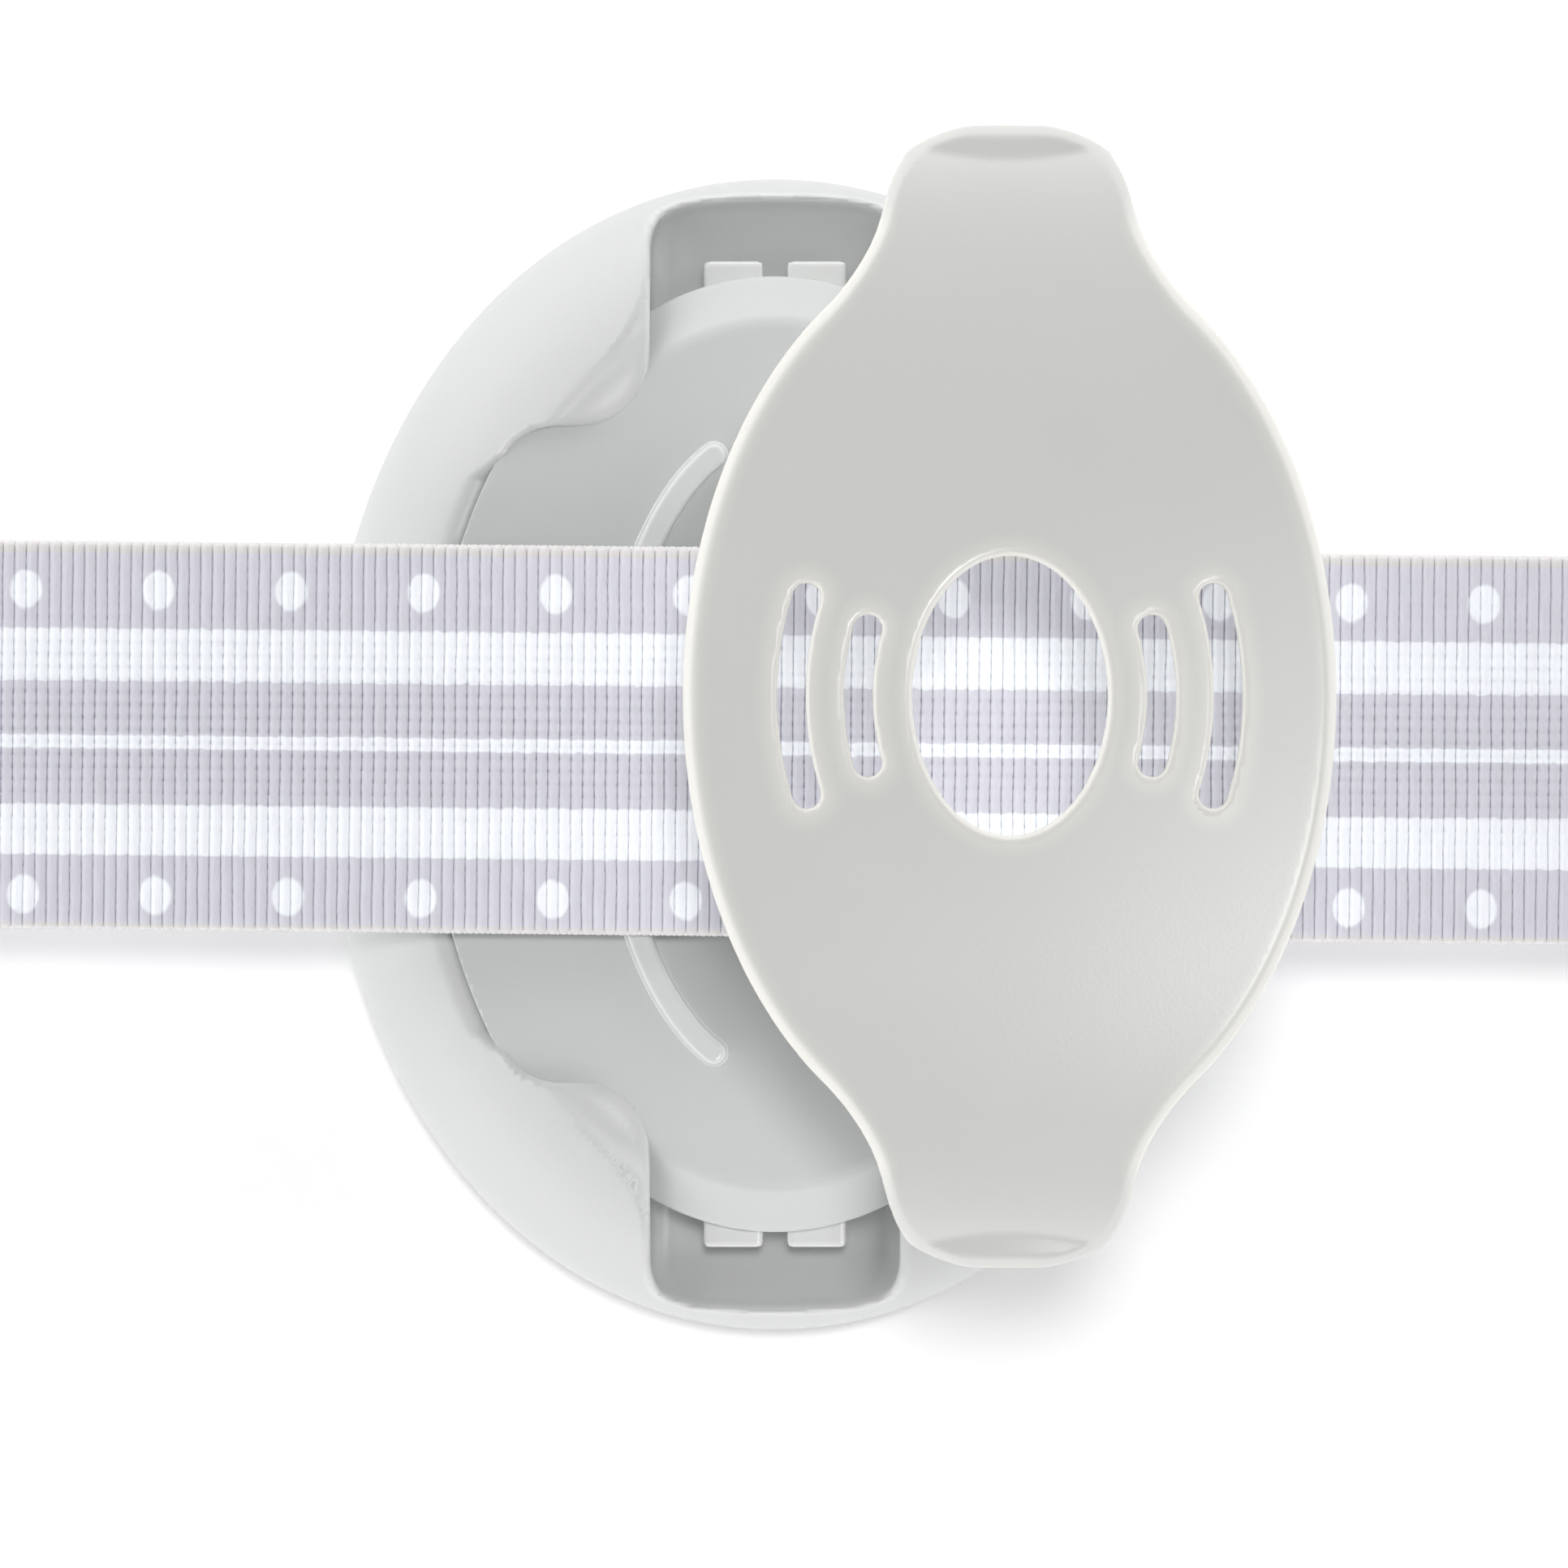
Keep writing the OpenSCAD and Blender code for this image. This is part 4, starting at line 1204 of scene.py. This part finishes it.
class LATCH_OT_strap(LatchPiece, bpy.types.Operator):
    """Weave the printed strap out of its warp, weft and selvedge threads"""

    bl_idname = "latch.strap"
    bl_label = "Woven strap"

    def execute(self, context):
        scene = context.scene
        s = scene.latch_strap
        tints = scene.latch_colours
        size = Vector((STRAP_HIGH - STRAP_LOW) * MM)
        width = size.y + s.spread
        middle = tuple((STRAP_HIGH + STRAP_LOW) / 2 * MM + np.array((0, s.shift, 0)))
        weft_cloth = webbing("Weft thread", tints, s.tilt, (7000, 900, 7000))
        # The warp threads and the core show only in the shade between the wefts; their colours are painted
        # a little lighter to offset it.
        warp_cloth = webbing("Warp thread", tints, s.tilt, (900, 7000, 7000), share=1.06)
        core_cloth = webbing("Core cloth", tints, s.tilt, (3000, 3000, 3000), share=1.02)
        weft, warp = weft_tree(), warp_tree()
        half_t = s.weft_t / 2
        count = int((size.x - STRAP_END) / s.weft_pitch)
        loops = []
        for label, first, number in (("left", 0, count // 2), ("right", count // 2, count - count // 2)):
            loops.append(from_tree("webbing_weft_" + label, weft, {
                "Run": width - 2 * half_t, "Thickness": size.z - 2 * half_t - 2 * s.wave,
                "Half width": s.weft_w / 2, "Half height": half_t,
                "Pitch": s.weft_pitch, "Count": number, "First": (first - (count - 1) / 2) * s.weft_pitch,
                "Cross pitch": s.warp_pitch, "Wave": s.wave, "Wander": s.wander, "Seed": 1.0 + first,
                "Middle": middle, "Tilt": s.tilt, "Material": weft_cloth}))
        selvedges = width - 2 * SELVEDGE_HALF[0]
        lengthways = []
        for name, half, pitch, number, seed in (
            ("webbing_warp", WARP_HALF, s.warp_pitch, WARP_COUNT, 5.0),
            ("webbing_selvedge", SELVEDGE_HALF, selvedges, 2, 7.0),
        ):
            lengthways.append(from_tree(name, warp, {
                "Run": count * s.weft_pitch, "Half width": half[0], "Half height": half[1],
                "Pitch": pitch, "Count": number, "First": -(number - 1) / 2 * pitch,
                "Cross pitch": s.weft_pitch, "Wander": s.wander / 3, "Seed": seed,
                "Middle": middle, "Tilt": s.tilt, "Material": warp_cloth}))
        core = self.core(size, middle, s)
        for piece in (*loops, *lengthways):
            finish_piece(piece, None, "strap", "webbing", "strap")
        finish_piece(core, core_cloth, "strap", "webbing", "strap")
        return self.done(core, *lengthways, *loops)

    def core(self, size, middle, s):
        """The flat elastic core inside the weave, ribbed by the rubber threads that run along it."""
        half_l, half_w = size.x / 2 - CORE_IN[0], size.y / 2 - CORE_IN[1]
        across = np.linspace(-half_w, half_w, CORE_STEPS[1])
        rib = CORE_HALF + CORE_RIB * np.cos(across / s.warp_pitch * 2 * math.pi)
        ring = np.concatenate([np.stack([across, rib], 1), np.stack([across, -rib], 1)[::-1]])
        stations = np.linspace(-half_l, half_l, CORE_STEPS[0])
        points = np.array([(x, y, z) for x in stations for y, z in ring])
        cosine, sine = math.cos(s.tilt), math.sin(s.tilt)
        turn = np.array([[cosine, -sine, 0], [sine, cosine, 0], [0, 0, 1]])
        points = points @ turn.T + np.array(middle)
        n = len(ring)
        quads = [
            (k * n + i, (k + 1) * n + i, (k + 1) * n + (i + 1) % n, k * n + (i + 1) % n)
            for k in range(len(stations) - 1) for i in range(n)
        ]
        caps = [tuple(range(n)), tuple((len(stations) - 1) * n + i for i in reversed(range(n)))]
        mesh = bpy.data.meshes.new("webbing_core")
        mesh.from_pydata(points.tolist(), [], quads + caps)
        mesh.shade_smooth()
        core = bpy.data.objects.new("webbing_core", mesh)
        bpy.context.scene.collection.objects.link(core)
        return core


class LATCH_OT_cover(LatchPiece, bpy.types.Operator):
    """Mould the arched cover plate and its two snap hooks"""

    bl_idname = "latch.cover"
    bl_label = "Cover plate and hooks"

    def execute(self, context):
        scene = context.scene
        s = in_mm(scene.latch_cover)
        # The cover's edge attribute follows its pale rim band, and its material paints a warm highlight
        # there; the hooks get a painted highlight on their edges.
        cover = mould("cover", cover_field(s), COVER_LOW, COVER_HIGH, cell=0.34, edge_reach=s.rim_w,
                      rim=cover_rim(s))
        tints = scene.latch_colours
        skin = plastic("Cover plastic", tints.cover, tints.warm_edge_highlight, roughness=0.34, grain=4200.0,
                       bump=0.07, glow=0.6)
        finish_piece(cover, skin, "cover", "cover_plastic", "cover_plate")
        hook_skin = plastic("Hook plastic", tints.hook, tints.edge, roughness=0.4)
        hooks = []
        for node, side in (("top_hook", 1), ("bottom_hook", -1)):
            low, high = box_mm(node)
            hook = mould("snap_" + node, hook_field(s, side), low, high, cell=0.13, edge_reach=0.3)
            hooks.append(finish_piece(hook, hook_skin, node, "hook_plastic", node))
        return self.done(cover, *hooks)


VIEW_MIDDLE = 0.58, -1.95      # millimetres from the pod's middle to where the camera looks
VIEW_WIDTH = 101.7             # millimetres that the camera sees at the height of the strap's top
CAMERA_HEIGHT = 800.0          # millimetres from there up to the camera
FLOOR_REACH = 3.0              # metres from the middle to the floor's sides
FLOOR_GLOW = 0.15              # light of the floor itself, so that it stays nearly white
TENT_SIDES = 3.15              # strength of the tent's sides
TENT_ROOF = 0.02               # strength straight above
TENT_TOP = 0.8                 # sine of the height where the sides end
TENT_LEAN = -0.22              # how much the strength changes towards the right
KEY = (0.03, 0.17, 1.0), 1.15, math.radians(11)        # where the lamp stands, strength and width
GLINT = (0.38, -0.26, 1.0), 2.2, math.radians(24)      # the same for the lamp that only shows as a sheen


class LATCH_OT_stage(bpy.types.Operator):
    """Set up the pale floor, the soft lights and the camera above the pod"""

    bl_idname = "latch.stage"
    bl_label = "Stage"

    def execute(self, context):
        scene = context.scene
        scene.view_settings.view_transform = "Standard"
        mesh = bpy.data.meshes.new("floor")
        corners = [(-1, -1), (1, -1), (1, 1), (-1, 1)]
        mesh.from_pydata([(x * FLOOR_REACH, y * FLOOR_REACH, 0) for x, y in corners], [], [(0, 1, 2, 3)])
        floor = bpy.data.objects.new("floor", mesh)
        scene.collection.objects.link(floor)
        material, tree, shader = new_material("Floor")
        shader.inputs["Base Color"].default_value = (*scene.latch_colours.floor, 1)
        shader.inputs["Roughness"].default_value = 0.9
        shader.inputs["Specular IOR Level"].default_value = 0.1
        shader.inputs["Emission Color"].default_value = (1, 1, 1, 1)
        shader.inputs["Emission Strength"].default_value = FLOOR_GLOW
        mesh.materials.append(material)
        self.tent(scene)
        self.lamp(scene, "key", *KEY).visible_glossy = False
        self.lamp(scene, "glint", *GLINT).visible_diffuse = False
        camera = bpy.data.objects.new("camera", bpy.data.cameras.new("camera"))
        camera.location = Vector((*VIEW_MIDDLE, STRAP_HIGH[2] + CAMERA_HEIGHT)) * MM
        camera.data.lens = camera.data.sensor_width * CAMERA_HEIGHT / VIEW_WIDTH
        camera.data.clip_start = 0.01
        camera.data.clip_end = 20
        scene.collection.objects.link(camera)
        scene.camera = camera
        return {"FINISHED"}

    def tent(self, scene):
        """A white light tent: brighter round the sides than straight above."""
        world = bpy.data.worlds.new("tent")
        world.use_nodes = True
        tree = Tree(world.node_tree)
        sky = tree.add("ShaderNodeTexCoord").outputs["Generated"]
        aim = tree.add("ShaderNodeSeparateXYZ", {"Vector": sky})
        low = tree.ramp(aim.outputs["Z"], 0.0, TENT_TOP, 1.0, 0.0)
        background = world.node_tree.nodes["Background"]
        strength = tree.math("MULTIPLY_ADD", low, TENT_SIDES, TENT_ROOF)
        strength = tree.math("MULTIPLY_ADD", aim.outputs["X"], TENT_LEAN, strength)
        tree.put(background.inputs["Strength"], strength)
        background.inputs["Color"].default_value = (1, 1, 1, 1)
        scene.world = world

    def lamp(self, scene, name, towards, strength, width):
        """A soft lamp far off in the direction given."""
        data = bpy.data.lights.new(name, "SUN")
        data.energy = strength
        data.angle = width
        lamp = bpy.data.objects.new(name, data)
        lamp.rotation_mode = "QUATERNION"
        lamp.rotation_quaternion = Vector(towards).to_track_quat("Z", "Y")
        scene.collection.objects.link(lamp)
        return lamp


class VIEW3D_PT_latch(bpy.types.Panel):
    """Pieces, sizes and colours of the strap latch pod"""

    bl_label = "Strap latch pod"
    bl_space_type = "VIEW_3D"
    bl_region_type = "UI"
    bl_category = "Latch"

    def draw(self, context):
        for step in STEPS:
            self.layout.operator(step.bl_idname)
        for name, _ in GROUPS:
            group = getattr(context.scene, name)
            column = self.layout.column(align=True)
            for key in group.__annotations__:
                column.prop(group, key)


GROUPS = (
    ("latch_case", LatchCaseSizes),
    ("latch_deck", LatchDeckSizes),
    ("latch_cover", LatchCoverSizes),
    ("latch_strap", LatchStrapSizes),
    ("latch_colours", LatchColours),
)
STEPS = (
    LATCH_OT_stage, LATCH_OT_case, LATCH_OT_mount, LATCH_OT_platform, LATCH_OT_catch, LATCH_OT_strap,
    LATCH_OT_cover,
)
CLASSES = (*[group for _, group in GROUPS], *STEPS, VIEW3D_PT_latch)


def register():
    for item in CLASSES:
        bpy.utils.register_class(item)
    for name, group in GROUPS:
        setattr(bpy.types.Scene, name, bpy.props.PointerProperty(type=group))


def unregister():
    for name, _ in GROUPS:
        delattr(bpy.types.Scene, name)
    for item in reversed(CLASSES):
        bpy.utils.unregister_class(item)


def main():
    register()
    for step in STEPS:
        area, name = step.bl_idname.split(".")
        getattr(getattr(bpy.ops, area), name)()


if __name__ == "__main__":
    main()
